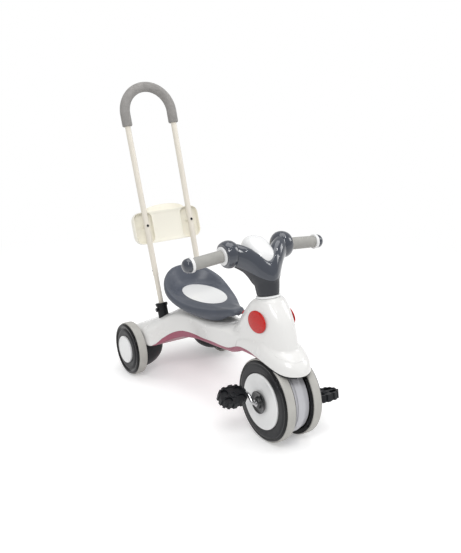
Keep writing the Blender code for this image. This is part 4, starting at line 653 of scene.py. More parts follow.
def bright_steel(name, colour, roughness):
    """Plated steel, with the faint marks of its drawing."""
    made = new_finish(name, colour, roughness, metallic=1.0)
    tinted(made, noise(made, 40, 4), shade(colour, 0.92), shade(colour, 1.03))
    roughened(made, noise(made, 130, 4), roughness * 0.7, roughness * 1.5)
    bumped(made, noise(made, 260, 3, 0.6), 0.08, 0.0003)
    return made


WHITE = glossy_moulding("white_shell_gloss", (0.80, 0.795, 0.780), 0.26, 0.4)
WHITE_TRIM = glossy_moulding("white_trim_gloss", (0.83, 0.835, 0.835), 0.22, 0.4)
MAUVE = glossy_moulding("mauve_shell_gloss", (0.34, 0.085, 0.135), 0.34, 0.2)
SLATE_GLOSS = glossy_moulding("slate_cover_gloss", (0.038, 0.045, 0.062), 0.13, 0.7)
SLATE_SATIN = satin_moulding("slate_housing_satin", (0.028, 0.030, 0.036), 0.38, 1200, 0.08, 0.40)
SADDLE_SATIN = satin_moulding("saddle_satin_moulding", (0.078, 0.088, 0.112), 0.36, 1500, 0.08)
BLACK_SATIN = satin_moulding("black_satin_moulding", (0.0085, 0.0095, 0.012), 0.42, 1300, 0.18, 0.26)
FRONT_BLACK = wheel_black("front_rim_black", 0.0, FRONT_RADIUS, 0.1050)
REAR_BLACK = wheel_black("rear_rim_black", WHEELBASE, REAR_RADIUS, 0.0655)
HUB_BLACK = glossy_moulding("hub_black_gloss", (0.008, 0.009, 0.011), 0.22, 0.3)
TREAD = tread_compound("tread_grey_compound", (0.50, 0.49, 0.46))
DRUM = satin_moulding("drum_lilac_grey", (0.56, 0.56, 0.59), 0.36, 1100, 0.06)
GRIP = grip_rubber("grip_grey_rubber", (0.36, 0.355, 0.335))
FOAM = closed_cell_foam("foam_sleeve_grey", (0.30, 0.29, 0.28))
PAINT = powder_paint("pole_cream_paint", (0.76, 0.715, 0.63))
PANEL = glossy_moulding("panel_cream_moulding", (0.89, 0.86, 0.755), 0.36, 0.2)
LENS = clear_red_lens("red_lens", (0.56, 0.008, 0.005))
STEEL = bright_steel("plated_steel", (0.43, 0.43, 0.44), 0.16)


KEPT_SOLIDS = {
    "fork_stem": STEEL, "saddle_bolt_1": STEEL, "saddle_bolt_2": STEEL, "stub_axle_left": STEEL,
    "stub_axle_right": STEEL, "neck_bush_lower": BLACK_SATIN,
}


def finish_kept_solids():
    """Gives each solid that stays as it is a finish of its own."""
    for name, finish in KEPT_SOLIDS.items():
        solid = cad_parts[name]
        solid.data.materials.clear()
        solid.data.materials.append(finish)


# ---- body shells ----

# The white shell's lower edge and the guard's rail, as (y, z)
WHITE_EDGE = (
    (-0.128, 0.2190), (-0.100, 0.2195), (-0.080, 0.2210), (-0.045, 0.2290), (-0.014, 0.2365), (0.018, 0.2400),
    (0.066, 0.2445), (0.098, 0.2425), (0.118, 0.2380), (0.138, 0.2292), (0.160, 0.2180), (0.184, 0.2085),
    (0.215, 0.2025), (0.263, 0.1972), (0.335, 0.1870), (0.411, 0.1830), (0.430, 0.1780), (0.474, 0.1470),
    (0.484, 0.1290), (0.493, 0.1180), (0.503, 0.1152), (0.527, 0.1144), (0.670, 0.1144),
)
RAIL_EDGE = WHITE_EDGE[:7] + ((0.103, 0.2415), (0.137, 0.2370))
# y, half width at the lower edge and at the shoulder, heights of the lower edge, shoulder and crown
BODY_SECTIONS = (
    (-0.014, 0.0625, 0.0500, 0.2345, 0.2600, 0.2640), (0.030, 0.0625, 0.0545, 0.2345, 0.2600, 0.2660),
    (0.098, 0.0625, 0.0550, 0.2290, 0.2600, 0.2700), (0.125, 0.0625, 0.0545, 0.2170, 0.2600, 0.2720),
    (0.158, 0.0590, 0.0535, 0.2030, 0.2520, 0.2720), (0.190, 0.0560, 0.0530, 0.1960, 0.2450, 0.2690),
    (0.216, 0.0555, 0.0535, 0.1910, 0.2430, 0.2640), (0.244, 0.0555, 0.0545, 0.1865, 0.2430, 0.2560),
    (0.300, 0.0555, 0.0585, 0.1785, 0.2360, 0.2530), (0.350, 0.0560, 0.0620, 0.1710, 0.2350, 0.2575),
    (0.385, 0.0610, 0.0655, 0.1650, 0.2330, 0.2570), (0.415, 0.0730, 0.0710, 0.1600, 0.2300, 0.2545),
    (0.446, 0.0930, 0.0790, 0.1470, 0.2220, 0.2480), (0.474, 0.1120, 0.0970, 0.1290, 0.2010, 0.2390),
    (0.500, 0.1480, 0.1440, 0.1145, 0.1540, 0.2260), (0.527, 0.1520, 0.1510, 0.1130, 0.1510, 0.2080),
    (0.555, 0.1520, 0.1510, 0.1130, 0.1480, 0.1940), (0.590, 0.1520, 0.1510, 0.1130, 0.1420, 0.1760),
    (0.625, 0.1520, 0.1505, 0.1130, 0.1360, 0.1560), (0.655, 0.1500, 0.1480, 0.1130, 0.1280, 0.1360),
)
# z, front, rear, half width
HEAD_SECTIONS = (
    (0.262, -0.0580, 0.2000, 0.0553), (0.286, -0.0480, 0.1810, 0.0540), (0.310, -0.0385, 0.1650, 0.0520),
    (0.334, -0.0270, 0.1490, 0.0495), (0.356, -0.0115, 0.1320, 0.0470), (0.374, 0.0055, 0.1150, 0.0440),
    (0.384, 0.0150, 0.1040, 0.0410),
)
# y, half width, crown
MUDGUARD_SECTIONS = (
    (-0.103, 0.0100, 0.2280), (-0.100, 0.0180, 0.2345), (-0.092, 0.0315, 0.2455), (-0.080, 0.0425, 0.2566),
    (-0.062, 0.0525, 0.2672), (-0.045, 0.0576, 0.2750), (-0.032, 0.0600, 0.2800), (-0.014, 0.0620, 0.2875),
    (0.018, 0.0625, 0.3040), (0.066, 0.0625, 0.2975), (0.103, 0.0625, 0.2825), (0.130, 0.0625, 0.2620),
)
# The tight seam between the shell and the guard, as (y, z)
GUARD_SEAM = (
    (-0.128, 0.2400), (-0.065, 0.2580), (-0.055, 0.2600), (-0.037, 0.2650), (-0.014, 0.2760), (0.000, 0.2830),
    (0.017, 0.2860), (0.045, 0.2835), (0.077, 0.2730), (0.110, 0.2550), (0.134, 0.2400), (0.160, 0.2300),
)
SEAM_END = 0.134
HEAD_TOP = 0.2790
NECK_RADIUS = 0.0345
STEM_RADIUS = 0.0128
SQUARISH = 2.5


def body_row(y, inset=0.0):
    """Points round the body's section at y, drawn in by the inset."""
    low_width, shoulder_width, low, shoulder, crown = eased(BODY_SECTIONS, y)
    low_width -= inset
    shoulder_width -= inset
    crown -= inset
    low += inset
    edge = 0.006
    side = low + edge
    half = [(low_width * share, low) for share in (0.0, 0.35, 0.7)]
    half += [(low_width - edge, low), (low_width - edge / 4, low + edge / 4), (low_width, side)]
    for step in range(1, 6):
        share = step / 6
        x = low_width + (shoulder_width - low_width) * share
        half.append((x, side + (shoulder - side) * share))
    for step in range(15):
        x, z = oval_point(QUARTER * step / 14, 1.7)
        half.append((shoulder_width * x, shoulder + (crown - shoulder) * z))
    left = [(-x, z) for x, z in reversed(half[1:-1])]
    return [(x, y, z) for x, z in half + left]


def body_solid():
    """The whole body as one solid, with a slightly rounded tail."""
    start, end = BODY_SECTIONS[0][0], BODY_SECTIONS[-1][0]
    rows = [body_row(y) for y in spread(start, end, 110)]
    rounding = 0.004
    rows.append([(x, y + rounding, z) for x, y, z in body_row(end, rounding)])
    return laid("body_solid", rows)


def head_solid():
    """Level ovals low in the head, tilting step by step until they are square to the steering axis."""
    rows = []
    lean = math.tan(LEAN)
    table = [(index, lean * index / len(HEAD_SECTIONS), *section) for index, section in enumerate(HEAD_SECTIONS)]
    for index in spread(0, len(HEAD_SECTIONS) - 1, 40):
        tilt, height, front, rear, half_width = eased(table, index)
        ring = superoval((rear - front) / 2, half_width, SQUARISH, 64)
        rows.append([(x, (front + rear) / 2 + y, height - tilt * y) for y, x in ring])
    neck = STEERING @ Matrix.Translation((0, 0, HEAD_TOP))
    ring = superoval(NECK_RADIUS + 0.002, NECK_RADIUS + 0.002, 2.0, 64)
    rows.append([tuple(neck @ Vector((x, y, 0))) for y, x in ring])
    return laid("head_solid", rows)


def guard_solid():
    """The flared guard over the front wheel, filled, so that it blends into the head."""
    front, rear = -0.103, 0.128
    rows = []
    for y in spread(front, rear, 70):
        half_width, crown = eased(MUDGUARD_SECTIONS, y)
        rail = eased(RAIL_EDGE, y)[0]
        foot = rail - 0.008
        rows.append([(half_width, y, foot)] + arch(half_width, y, rail, crown - rail, 48)
                    + [(-half_width, y, foot)])
    # the nose is turned up a little, towards the rail's height at the rear
    level = eased(RAIL_EDGE, rear)[0]
    nose = [(x * 0.4, y - 0.0016, level + (z - level) * 0.6) for x, y, z in rows[0]]
    return laid("guard_solid", [nose] + rows)


def make_body():
    """One skin over beam, head and guard, parted along the seam, and a lower shell below the white edge."""
    skin = carve(body_solid(), head_solid(), "UNION")
    carve(skin, guard_solid(), "UNION")
    blended(skin, 0.0024, 12)
    carve(skin, edge_block("under_white", WHITE_EDGE, BEHIND, 0.0, False), open_cut=True)
    carve(skin, drill(NECK_RADIUS - 0.004, 0.10, 0.36, STEERING, 64), open_cut=True)
    guard = copied(skin, "front_guard")

    seam_gap = 0.00005
    carve(skin, edge_block("guard_zone", GUARD_SEAM, SEAM_END, seam_gap, False), open_cut=True)
    walled(opened(skin), SHELL_WALL)
    for _, side in SIDES:
        carve(skin, drill(SOCKET_RADIUS + GAP, -0.14, 0.05, leg_place(side)))
        lens_seat = superoval(LENS_SIZE[0] + LENS_AIR, LENS_SIZE[1] + LENS_AIR, 2.0, 64)
        carve(skin, plate("lens_seat", lens_seat, -LENS_DEPTH, 0.012, reflector_place(side)))
    skin.name = "white_body_shell"
    done(skin, "frame", WHITE, "white_gloss", "body_upper_shell", angle=SKIN_EDGES)

    guard_end = SEAM_END - 0.0002
    carve(guard, edge_block("shell_zone", GUARD_SEAM, guard_end, -seam_gap, True), open_cut=True)
    carve(guard, block("rear", (-PAST, guard_end, 0.0), (PAST, BEHIND, 0.6)), open_cut=True)
    walled(opened(guard), GUARD_WALL)
    done(guard, "frame", WHITE, "white_gloss", "front_mudguard", angle=SKIN_EDGES)

    lower = blended(body_solid(), 0.0026, 12)
    carve(lower, edge_block("over_mauve", WHITE_EDGE, BEHIND, -GAP, True), open_cut=True)
    walled(opened(lower), SHELL_WALL)
    carve(lower, block("wheel_well", (-0.0592, -PAST, 0.1), (0.0592, 0.125, 0.5)))
    lower.name = "mauve_body_shell"
    done(lower, "frame", MAUVE, "mauve_gloss", "body_lower_shell", angle=SKIN_EDGES)


def make_guard_lip():
    """The dark liner under the guard, whose lip shows below the white rim as far back as the axle."""
    rows = []
    for y in spread(-0.1000, 0.121, 64):
        half_width, crown = eased(MUDGUARD_SECTIONS, y)
        rail = eased(RAIL_EDGE, y)[0]
        inner = half_width - 0.0040
        crown = min(crown - 0.0055, eased(GUARD_SEAM, y)[0] - 0.004)
        low = rail + 0.0015
        depth = 0.0034 * min(1.0, max(0.0, (0.002 - y) / 0.014))
        flared = depth > 0.0002
        outer = half_width - 0.0009 if flared else inner
        foot = rail - 0.0008 if flared else rail + 0.0010
        rows.append([(outer, y, foot - depth), (outer, y, foot)] + arch(inner, y, low, max(crown - low, 0.002), 36)
                    + [(-outer, y, foot), (-outer, y, foot - depth)])
    liner = walled(heal(laid("guard_liner", rows, closed=False)), LINER_WALL)
    carve(liner, drill(0.0165, 0.05, 0.25, STEERING))
    done(liner, "frame", BLACK_SATIN, "black_plastic", "mudguard_liner", angle=SKIN_EDGES)


# ---- small pieces on the body ----


def leg_place(side):
    """Where a leg of the push handle stands; the two spread a little towards the bow."""
    spread_angle = math.atan((BOW_RADIUS - HALF_TRACK) / ARC_CENTRE)
    return HANDLE @ Matrix.Translation((side * HALF_TRACK, 0, 0)) @ Matrix.Rotation(side * spread_angle, 4, "Y")


def reflector_place(side):
    """Where a reflector lies against the side of the head, facing outwards."""
    turn = Matrix.Rotation(side * QUARTER, 4, "Y")
    lean = Matrix.Rotation(-side * LENS_TILT, 4, "Y") @ Matrix.Rotation(-side * LENS_YAW, 4, "Z")
    return Matrix.Translation((side * 0.050, 0.043, 0.334)) @ lean @ turn


def make_reflectors():
    levels = (
        (-LENS_DEPTH, 0.0), (0.0004, 0.0), (0.0011, 0.0004), (0.0016, 0.0012), (0.0021, 0.0030), (0.0027, 0.0070),
        (0.0032, 0.0120), (0.0036, 0.0180), (0.0038, 0.0240), (0.0039, 0.0275),
    )
    for word, side in SIDES:
        lens = domed_oval(f"side_lens_{word}", *LENS_SIZE, levels, 72, reflector_place(side))
        done(lens, "frame", LENS, "reflector_red", f"reflector_{word}")


def make_rear_plug():
    """A small red lens pressed into the rear slope of the head."""
    place = Matrix.Translation((0, 0.1715, 0.3055)) @ Matrix.Rotation(math.radians(-58), 4, "X")
    profile = [(-0.012, 0), (-0.012, 0.0040), (-0.0036, 0.0040), (-0.0036, 0.0090), (0.0050, 0.0088),
               (0.0085, 0.0062), (0.0095, 0)]
    done(turned("rear_lamp_plug", profile, place, 48, 0.0015), "frame", LENS, "reflector_red", "head_rear_plug")


def make_neck_ring():
    spigot, low, top = HEAD_TOP - 0.020, HEAD_TOP + GAP, 0.2854
    profile = [(spigot, STEM_RADIUS), (spigot, 0.0155), (low, 0.0155), (low, NECK_RADIUS), (top, NECK_RADIUS),
               (top, STEM_RADIUS)]
    ring = turned("neck_ring", profile, STEERING, 96, 0.0022)
    done(ring, "frame", WHITE_TRIM, "white_gloss", "neck_bush_upper")


def make_guard_screw():
    place = Matrix.Translation((-0.0100, -0.0740, 0.2585)) @ Matrix.Rotation(math.radians(42), 4, "X")
    profile = [(-0.004, 0), (-0.004, 0.0012), (0.0002, 0.0012), (0.0002, 0.0024), (0.0010, 0.0019), (0.0012, 0)]
    done(turned("guard_screw", profile, place, 24, 0.0002), "frame", STEEL, "steel")


# ---- saddle ----

# half width, y, height of the rim, height of the skirt's lower edge, from the back to the nose
SADDLE_OUTLINE = (
    (0.000, 0.545, 0.3530, 0.300), (0.045, 0.538, 0.3490, 0.297), (0.080, 0.513, 0.3350, 0.290),
    (0.101, 0.475, 0.3175, 0.283), (0.105, 0.437, 0.3020, 0.275), (0.098, 0.390, 0.2905, 0.266),
    (0.083, 0.342, 0.2865, 0.259), (0.060, 0.293, 0.2880, 0.256), (0.040, 0.253, 0.2940, 0.259),
    (0.028, 0.225, 0.3015, 0.272), (0.019, 0.206, 0.3060, 0.286), (0.000, 0.197, 0.3075, 0.291),
)


def saddle_curve(count):
    """The saddle's outline as an even run of points on one closed smooth curve."""
    half = [Vector(point) for point in SADDLE_OUTLINE]
    loop = half + [Vector((-p[0], p[1], p[2], p[3])) for p in reversed(half[1:-1])]
    points = []
    for step in range(count):
        index, t = divmod(step * len(loop) / count, 1)
        p0, p1, p2, p3 = (loop[(int(index) + shift) % len(loop)] for shift in (-1, 0, 1, 2))
        curve = p1 + (p2 - p0) * (0.5 * t) + (p0 * 2 - p1 * 5 + p2 * 4 - p3) * (0.5 * t * t)
        points.append(curve + (p1 * 3 - p0 - p2 * 3 + p3) * (0.5 * t * t * t))
    return points


def make_saddle():
    """One moulding: a dish with a broad rounded rim and a skirt that leans in below it; then its oval inlay."""
    curve = saddle_curve(180)
    centre = Vector((0, 0.410))
    floor = 0.2945
    lean_in = 0.912
    # row, scale from the middle, share of the rim's height, drop below the rim
    outer = (
        (0.0, 0.30, 0.000, 0.0), (1.0, 0.50, 0.000, 0.0), (2.0, 0.65, 0.000, 0.0), (3.0, 0.74, 0.180, 0.0),
        (4.0, 0.82, 0.540, 0.0), (5.0, 0.88, 0.820, 0.0), (6.0, 0.925, 0.950, 0.0), (7.0, 0.954, 1.000, 0.0006),
        (8.0, 0.976, 1.000, 0.0030), (9.0, 0.992, 1.000, 0.0070), (10.0, 0.998, 1.000, 0.0120),
        (11.0, 0.992, 1.000, 0.0170),
    )
    rows = []
    for at in spread(0, 11, 56):
        scale, share, drop = eased(outer, at)
        row = []
        for x, y, rim, skirt in curve:
            flat = centre + (Vector((x, y)) - centre) * scale
            height = floor + (rim - floor) * share - drop
            if share == 1:
                height = max(height, skirt + 0.003)
            row.append((flat.x, flat.y, height))
        rows.append(row)
    widest = rows[-1]
    for step in range(1, 13):
        share = step / 12
        row = []
        for (x, y, rim, skirt), (px, py, pz) in zip(curve, widest):
            end = centre + (Vector((x, y)) - centre) * lean_in
            row.append((px + (end.x - px) * share, py + (end.y - py) * share, pz + (skirt - pz) * share ** 0.9))
        rows.append(row)
    skin = laid("saddle_moulding", rows, caps=False)
    into_edit(skin)

    def inner_edge(edge):
        middle = (edge.verts[0].co + edge.verts[1].co) / 2
        return edge.is_boundary and abs(middle.z - floor) < 0.0005

    picked(skin, "edges", inner_edge)
    bpy.ops.mesh.edge_face_add()
    bpy.ops.mesh.poke()
    faced_out()
    # the wall grows away from the faces, so the dish has to face up
    dish = Vector((*centre, floor))
    bm = bmesh.from_edit_mesh(skin.data)
    up = [face.normal.z for face in bm.faces if (face.calc_center_median() - dish).length < 0.03]
    if up and up[0] < 0:
        bpy.ops.mesh.flip_normals()
    out_of_edit()
    walled(skin, SADDLE_WALL)
    done(skin, "frame", SADDLE_SATIN, "saddle_satin", "saddle", angle=SKIN_EDGES)

    levels = (
        (0.0001, 0.0012), (0.0001, 0.0004), (0.0006, 0.0), (0.0011, 0.0006), (0.0014, 0.0016), (0.0016, 0.0050),
        (0.0017, 0.0200), (0.0018, 0.0400), (0.0018, 0.0540),
    )
    place = Matrix.Translation((0, 0.4016, floor))
    oval = domed_oval("saddle_oval", 0.0578, 0.0948, levels, 96, place, lengthwise=1.4)
    done(oval, "frame", WHITE_TRIM, "white_gloss", "saddle_inlay")


# ---- rear ----


def make_housings():
    """Half-round cups over the rear axle, cut off level under the tail arms."""
    top = 0.1127
    radius, tip, face, wall = 0.068, 0.063, 0.150, 0.0025
    boss, boss_end, bore = 0.012, 0.1125, 0.0053
    angles = spread(QUARTER, 0, 22)
    outer = [(tip + (face - tip) * (1 - math.cos(a)), radius * math.sin(a)) for a in angles]
    depth = face - tip - 2 * wall
    inner = [(tip + wall + depth * (1 - math.cos(a)), (radius - wall) * math.sin(a)) for a in angles]
    profile = [(tip + wall, 0)] + inner[:-1][::-1]
    profile += [(face - wall, boss), (boss_end, boss), (boss_end, bore), (face, bore)]
    profile += outer[:-1] + [(tip, 0)]
    for word, side in SIDES:
        housing = turned(f"rear_axle_cup_{word}", on_side(profile, side), REAR_AXLE, 96, 0.0006, 2)
        carve(housing, block("above", (-PAST, 0.3, top), (PAST, BEHIND, 0.4)))
        done(housing, "frame", BLACK_SATIN, "black_plastic", f"axle_housing_{word}")


def make_rear_wheels():
    seat = REAR_RADIUS - 0.0093
    bore = 0.0056
    rim = [
        (0.1515, bore), (0.1515, 0.0140), (0.1720, 0.0150), (0.1720, seat - 0.0087), (0.1540, seat - 0.0050),
        (0.1540, seat), (0.1815, seat), (0.1815, REAR_RADIUS - 0.0032), (0.1845, REAR_RADIUS - 0.0024),
        (0.1878, REAR_RADIUS - 0.0044), (0.1890, REAR_RADIUS - 0.0085), (0.1884, 0.0735), (0.1862, 0.0705),
        (0.1852, 0.0680), (0.1862, 0.0655), (0.1886, 0.0625), (0.1894, 0.0580), (0.1888, 0.0500), (0.1876, 0.0444),
        (0.1876, bore),
    ]
    tread = [(0.1543, seat + GAP), (0.1543, REAR_RADIUS - 0.0012), (0.1560, REAR_RADIUS), (0.1795, REAR_RADIUS),
             (0.1812, REAR_RADIUS - 0.0012), (0.1812, seat + GAP)]
    cap = [(0.1918, 0), (0.1918, bore), (0.1879, bore), (0.1879, 0.0441), (0.1935, 0.0441), (0.1950, 0.0426),
           (0.1950, 0.0400), (0.1938, 0.0385), (0.1940, 0.0300), (0.1944, 0.0150), (0.1945, 0)]
    for word, side in SIDES:
        turned_set(word, side, REAR_AXLE, f"rear_wheel_{word}",
                   ("rear_rim", rim, 128, 0.0010, REAR_BLACK, "wheel_black", "rear_wheel"),
                   ("rear_tread", tread, 128, 0.0010, TREAD, "tread_grey", "rear_tyre"),
                   ("rear_hub_cap", cap, 96, 0.0008, WHITE_TRIM, "white_gloss", "rear_cap"))


# ---- front wheel, crank and pedals ----


def make_front_wheel():
    seat = FRONT_RADIUS - 0.0095
    bore = 0.0053
    flange = FRONT_RADIUS - 0.0040
    lip = FRONT_RADIUS - 0.0035
    rim = [
        (0.0652, bore), (0.0652, 0.0120), (0.0600, 0.0120), (0.0600, 0.0805), (0.0622, 0.0812), (0.0626, 0.0900),
        (0.0624, 0.0985), (0.0612, 0.1030), (0.0606, 0.1046), (0.0612, 0.1062), (0.0614, 0.1085),
        (0.0602, 0.1115), (0.0580, 0.1135), (0.0560, flange), (0.0560, seat), (0.0300, seat), (0.0300, lip),
        (0.0275, lip), (0.0275, seat - 0.006), (0.0560, seat - 0.004), (0.0560, 0.0165), (0.0290, 0.0155),
        (0.0290, bore),
    ]
    tread = [(0.0303, seat + GAP), (0.0303, FRONT_RADIUS - 0.0015), (0.0320, FRONT_RADIUS), (0.0522, FRONT_RADIUS),
             (0.0547, FRONT_RADIUS - 0.0010), (0.0557, FRONT_RADIUS - 0.0030), (0.0557, seat + GAP)]
    cover = [(0.0603, 0.0123), (0.0603, 0.0790), (0.0650, 0.0790), (0.0664, 0.0776), (0.0662, 0.0730),
             (0.0654, 0.0640), (0.0648, 0.0520), (0.0648, 0.0420), (0.0652, 0.0350), (0.0654, 0.0123)]
    cone = [
        (0.0665, bore), (0.0665, 0.0130), (0.0657, 0.0130), (0.0657, 0.0270), (0.0690, 0.0300), (0.0722, 0.0322),
        (0.0736, 0.0322), (0.0738, 0.0308), (0.0716, 0.0270), (0.0700, 0.0225), (0.0698, 0.0180), (0.0720, 0.0160),
        (0.0770, 0.0146), (0.0794, 0.0130), (0.0800, 0.0112), (0.0796, 0.0090), (0.0796, bore),
    ]
    washer = [(0.0802, bore), (0.0802, 0.0095), (0.0812, 0.0095), (0.0812, bore)]
    for word, side in SIDES:
        turned_set(word, side, FRONT_AXLE, "front_wheel",
                   ("front_rim", rim, 160, 0.0008, FRONT_BLACK, "wheel_black", "front_wheel"),
                   ("front_tread", tread, 160, 0.0010, TREAD, "tread_grey", "front_tyre"),
                   ("front_disc", cover, 160, 0.0008, WHITE_TRIM, "white_gloss", "front_cover"),
                   ("hub_boss", cone, 96, 0.0008, HUB_BLACK, "black_plastic", "hub_cone"),
                   ("axle_washer", washer, 48, 0.0003, STEEL, "steel", None))


def pin_centre(side):
    """The middle of a pedal's pin, on the centre line."""
    return Vector((0, -side * CRANK_THROW * math.cos(CRANK_TURN),
                   FRONT_RADIUS - side * CRANK_THROW * math.sin(CRANK_TURN)))


def rounded_path(corners, radius, steps):
    """A line through corners, with an arc of the radius at each."""
    path = [corners[0]]
    for before, corner, after in zip(corners, corners[1:], corners[2:]):
        inward = (before - corner).normalized()
        outward = (after - corner).normalized()
        half = inward.angle(outward) / 2
        trim = radius / math.tan(half)
        middle = corner + (inward + outward).normalized() * (radius / math.sin(half))
        start = corner + inward * trim - middle
        end = corner + outward * trim - middle
        turn = start.angle(end)
        axis = start.cross(end).normalized()
        for step in range(steps + 1):
            path.append(middle + Matrix.Rotation(turn * step / steps, 3, axis) @ start)
    path.append(corners[-1])
    return path


def make_crank():
    """One rod, bent from pedal pin to web to axle and back out on the other side."""
    corners = []
    for side in (-1, 1):
        pin = pin_centre(side)
        ends = [Vector((side * PIN_END, pin.y, pin.z)), Vector((side * WEB_OUT, pin.y, pin.z)),
                Vector((side * WEB_OUT, 0, FRONT_RADIUS))]
        corners += ends if side < 0 else ends[::-1]
    rod = swept("crank_rod_bent", rounded_path(corners, 0.009, 10), ROD_RADIUS, sides=28)
    done(rod, "front_wheel", STEEL, "steel", "crank_rod")


def pedal_outline(teeth, depth):
    """An oval with square teeth, as (x, y) points."""
    points = []
    for step, (x, y) in enumerate(superoval(1.0, 1.0, SQUARISH, teeth * 12)):
        low = 0.0 if step % 12 < 7 else depth
        points.append(((0.0415 - low) * x, (0.0318 - low) * y))
    return points


def pedal_tread(side):
    """A toothed oval with sunk faces, blind pockets, cross ribs and a dished round boss over the pin."""
    past = 0.02
    tread = plate("tread", pedal_outline(14, 0.0036), -0.0108, 0.0108, soft=0.0008)
    for way in (1, -1):
        low, high = sorted((way * 0.0088, way * past))
        carve(tread, plate("sunk_face", superoval(0.0345, 0.0248, 2.6, 64), low, high))
        low, high = sorted((way * 0.0048, way * past))
        for end in (1, -1):
            for edge in (1, -1):
                pocket = [(x + end * 0.0205, y + edge * 0.0128) for x, y in superoval(0.0108, 0.0080, 3.4, 40)]
                carve(tread, plate("pocket", pocket, low, high))
        low, high = sorted((way * 0.006, way * 0.0098))
        carve(tread, block("rib", (-0.0335, -0.0024, low), (0.0335, 0.0024, high), soft=0.0004), "UNION")
    boss = [(-0.0112, 0), (-0.0112, 0.0088), (-0.0104, 0.0100), (0.0104, 0.0100), (0.0112, 0.0088), (0.0112, 0)]
    carve(tread, turned("boss", boss, UNMOVED, 48, 0.0006, 3), "UNION")
    for way in (1, -1):
        low, high = sorted((way * 0.0098, way * past))
        carve(tread, drill(0.0060, low, high, UNMOVED, 32))
    return carve(tread, drill(0.0056, side * -0.06, side * 0.0300, Matrix.Rotation(QUARTER, 4, "Y"), 32))


def make_pedals():
    for word, side in SIDES:
        pin = pin_centre(side)
        tread = pedal_tread(side)
        tread.name = f"pedal_tread_{word}"
        tilt = Matrix.Rotation(PEDAL_PITCH[word], 4, "X")
        tread.data.transform(Matrix.Translation((side * PEDAL_OUT, pin.y, pin.z)) @ tilt)
        done(tread, f"pedal_{word}", BLACK_SATIN, "black_plastic", f"pedal_{word}")


def make_drum():
    """The pale drum between the tyres: two cups that meet on the centre line and step down beside it."""
    face, inner_face, bore, start = 0.0262, 0.0237, 0.018, 0.00004
    profile = [
        (start, 0.1028), (start, 0.1030), (0.00030, 0.1030), (0.0112, 0.1030), (0.0126, 0.0997), (face, 0.0992),
        (face, bore), (inner_face, bore), (inner_face, 0.0965), (0.0105, 0.0965), (start, 0.1005),
    ]
    for word, side in SIDES:
        drum = turned(f"fork_drum_{word}", on_side(profile, side), FRONT_AXLE, 160, 0.0009)
        carve(drum, drill(STEM_RADIUS, 0.05, 0.15, STEERING))
        done(drum, "steering", DRUM, "drum_grey", f"fork_shroud_{word}")


# ---- handlebar ----

# distance from the centre line, y, z, half height and half depth of the arms
ARM_SECTIONS = (
    (0.000, 0.0660, 0.4520, 0.0442, 0.0310), (0.013, 0.0700, 0.4585, 0.0462, 0.0315),
    (0.025, 0.0770, 0.4660, 0.0500, 0.0312), (0.034, 0.0840, 0.4735, 0.0500, 0.0308),
    (0.044, 0.0915, 0.4860, 0.0440, 0.0302), (0.057, 0.1010, 0.4975, 0.0380, 0.0298),
    (0.072, 0.1115, 0.5045, 0.0345, 0.0290), (0.088, 0.1220, 0.5085, 0.0290, 0.0270),
)


def handlebar_solid():
    """The column and the two arms in one, blended where they meet."""
    column = [
        (0.286, 0), (0.286, 0.0300), (0.289, 0.0312), (0.297, 0.0322), (0.310, 0.0338), (0.330, 0.0358),
        (0.345, 0.0358), (0.357, 0.0290), (0.365, 0.0180), (0.367, 0),
    ]
    post = turned("post", column, STEERING, 64, 0.001)
    turn = Matrix.Rotation(-LEAN, 3, "X")
    end = ARM_SECTIONS[-1][0]
    rows = []
    for x in spread(-end, end, 60):
        y, z, rise, depth = eased(ARM_SECTIONS, abs(x))
        ring = superoval(depth, rise, 2.0, 48)
        rows.append([tuple(Vector((x, y, z)) + turn @ Vector((0, along, up))) for along, up in ring])
    return blended(carve(post, laid("arms", rows), "UNION"), 0.0016, 10)


def bisected(piece, point, normal, keep_above):
    """Cuts a piece along a plane and keeps the part above or below it."""
    into_edit(piece)
    bpy.ops.mesh.bisect(plane_co=point, plane_no=normal, use_fill=True, clear_inner=keep_above,
                        clear_outer=not keep_above)
    out_of_edit()
    return heal(piece)


def knob_profile(grow=0.0):
    """The bulb at the root of a grip, from its tip inside the arm to its flat face."""
    shape = ((0.0, 0.0), (0.02, 0.26), (0.06, 0.46), (0.13, 0.65), (0.24, 0.82), (0.38, 0.94), (0.54, 0.995),
             (0.68, 1.0), (0.82, 0.97), (0.93, 0.92), (1.0, 0.87))
    return [(0.057 - grow + 0.0475 * along, (0.038 + grow) * radius) for along, radius in shape]


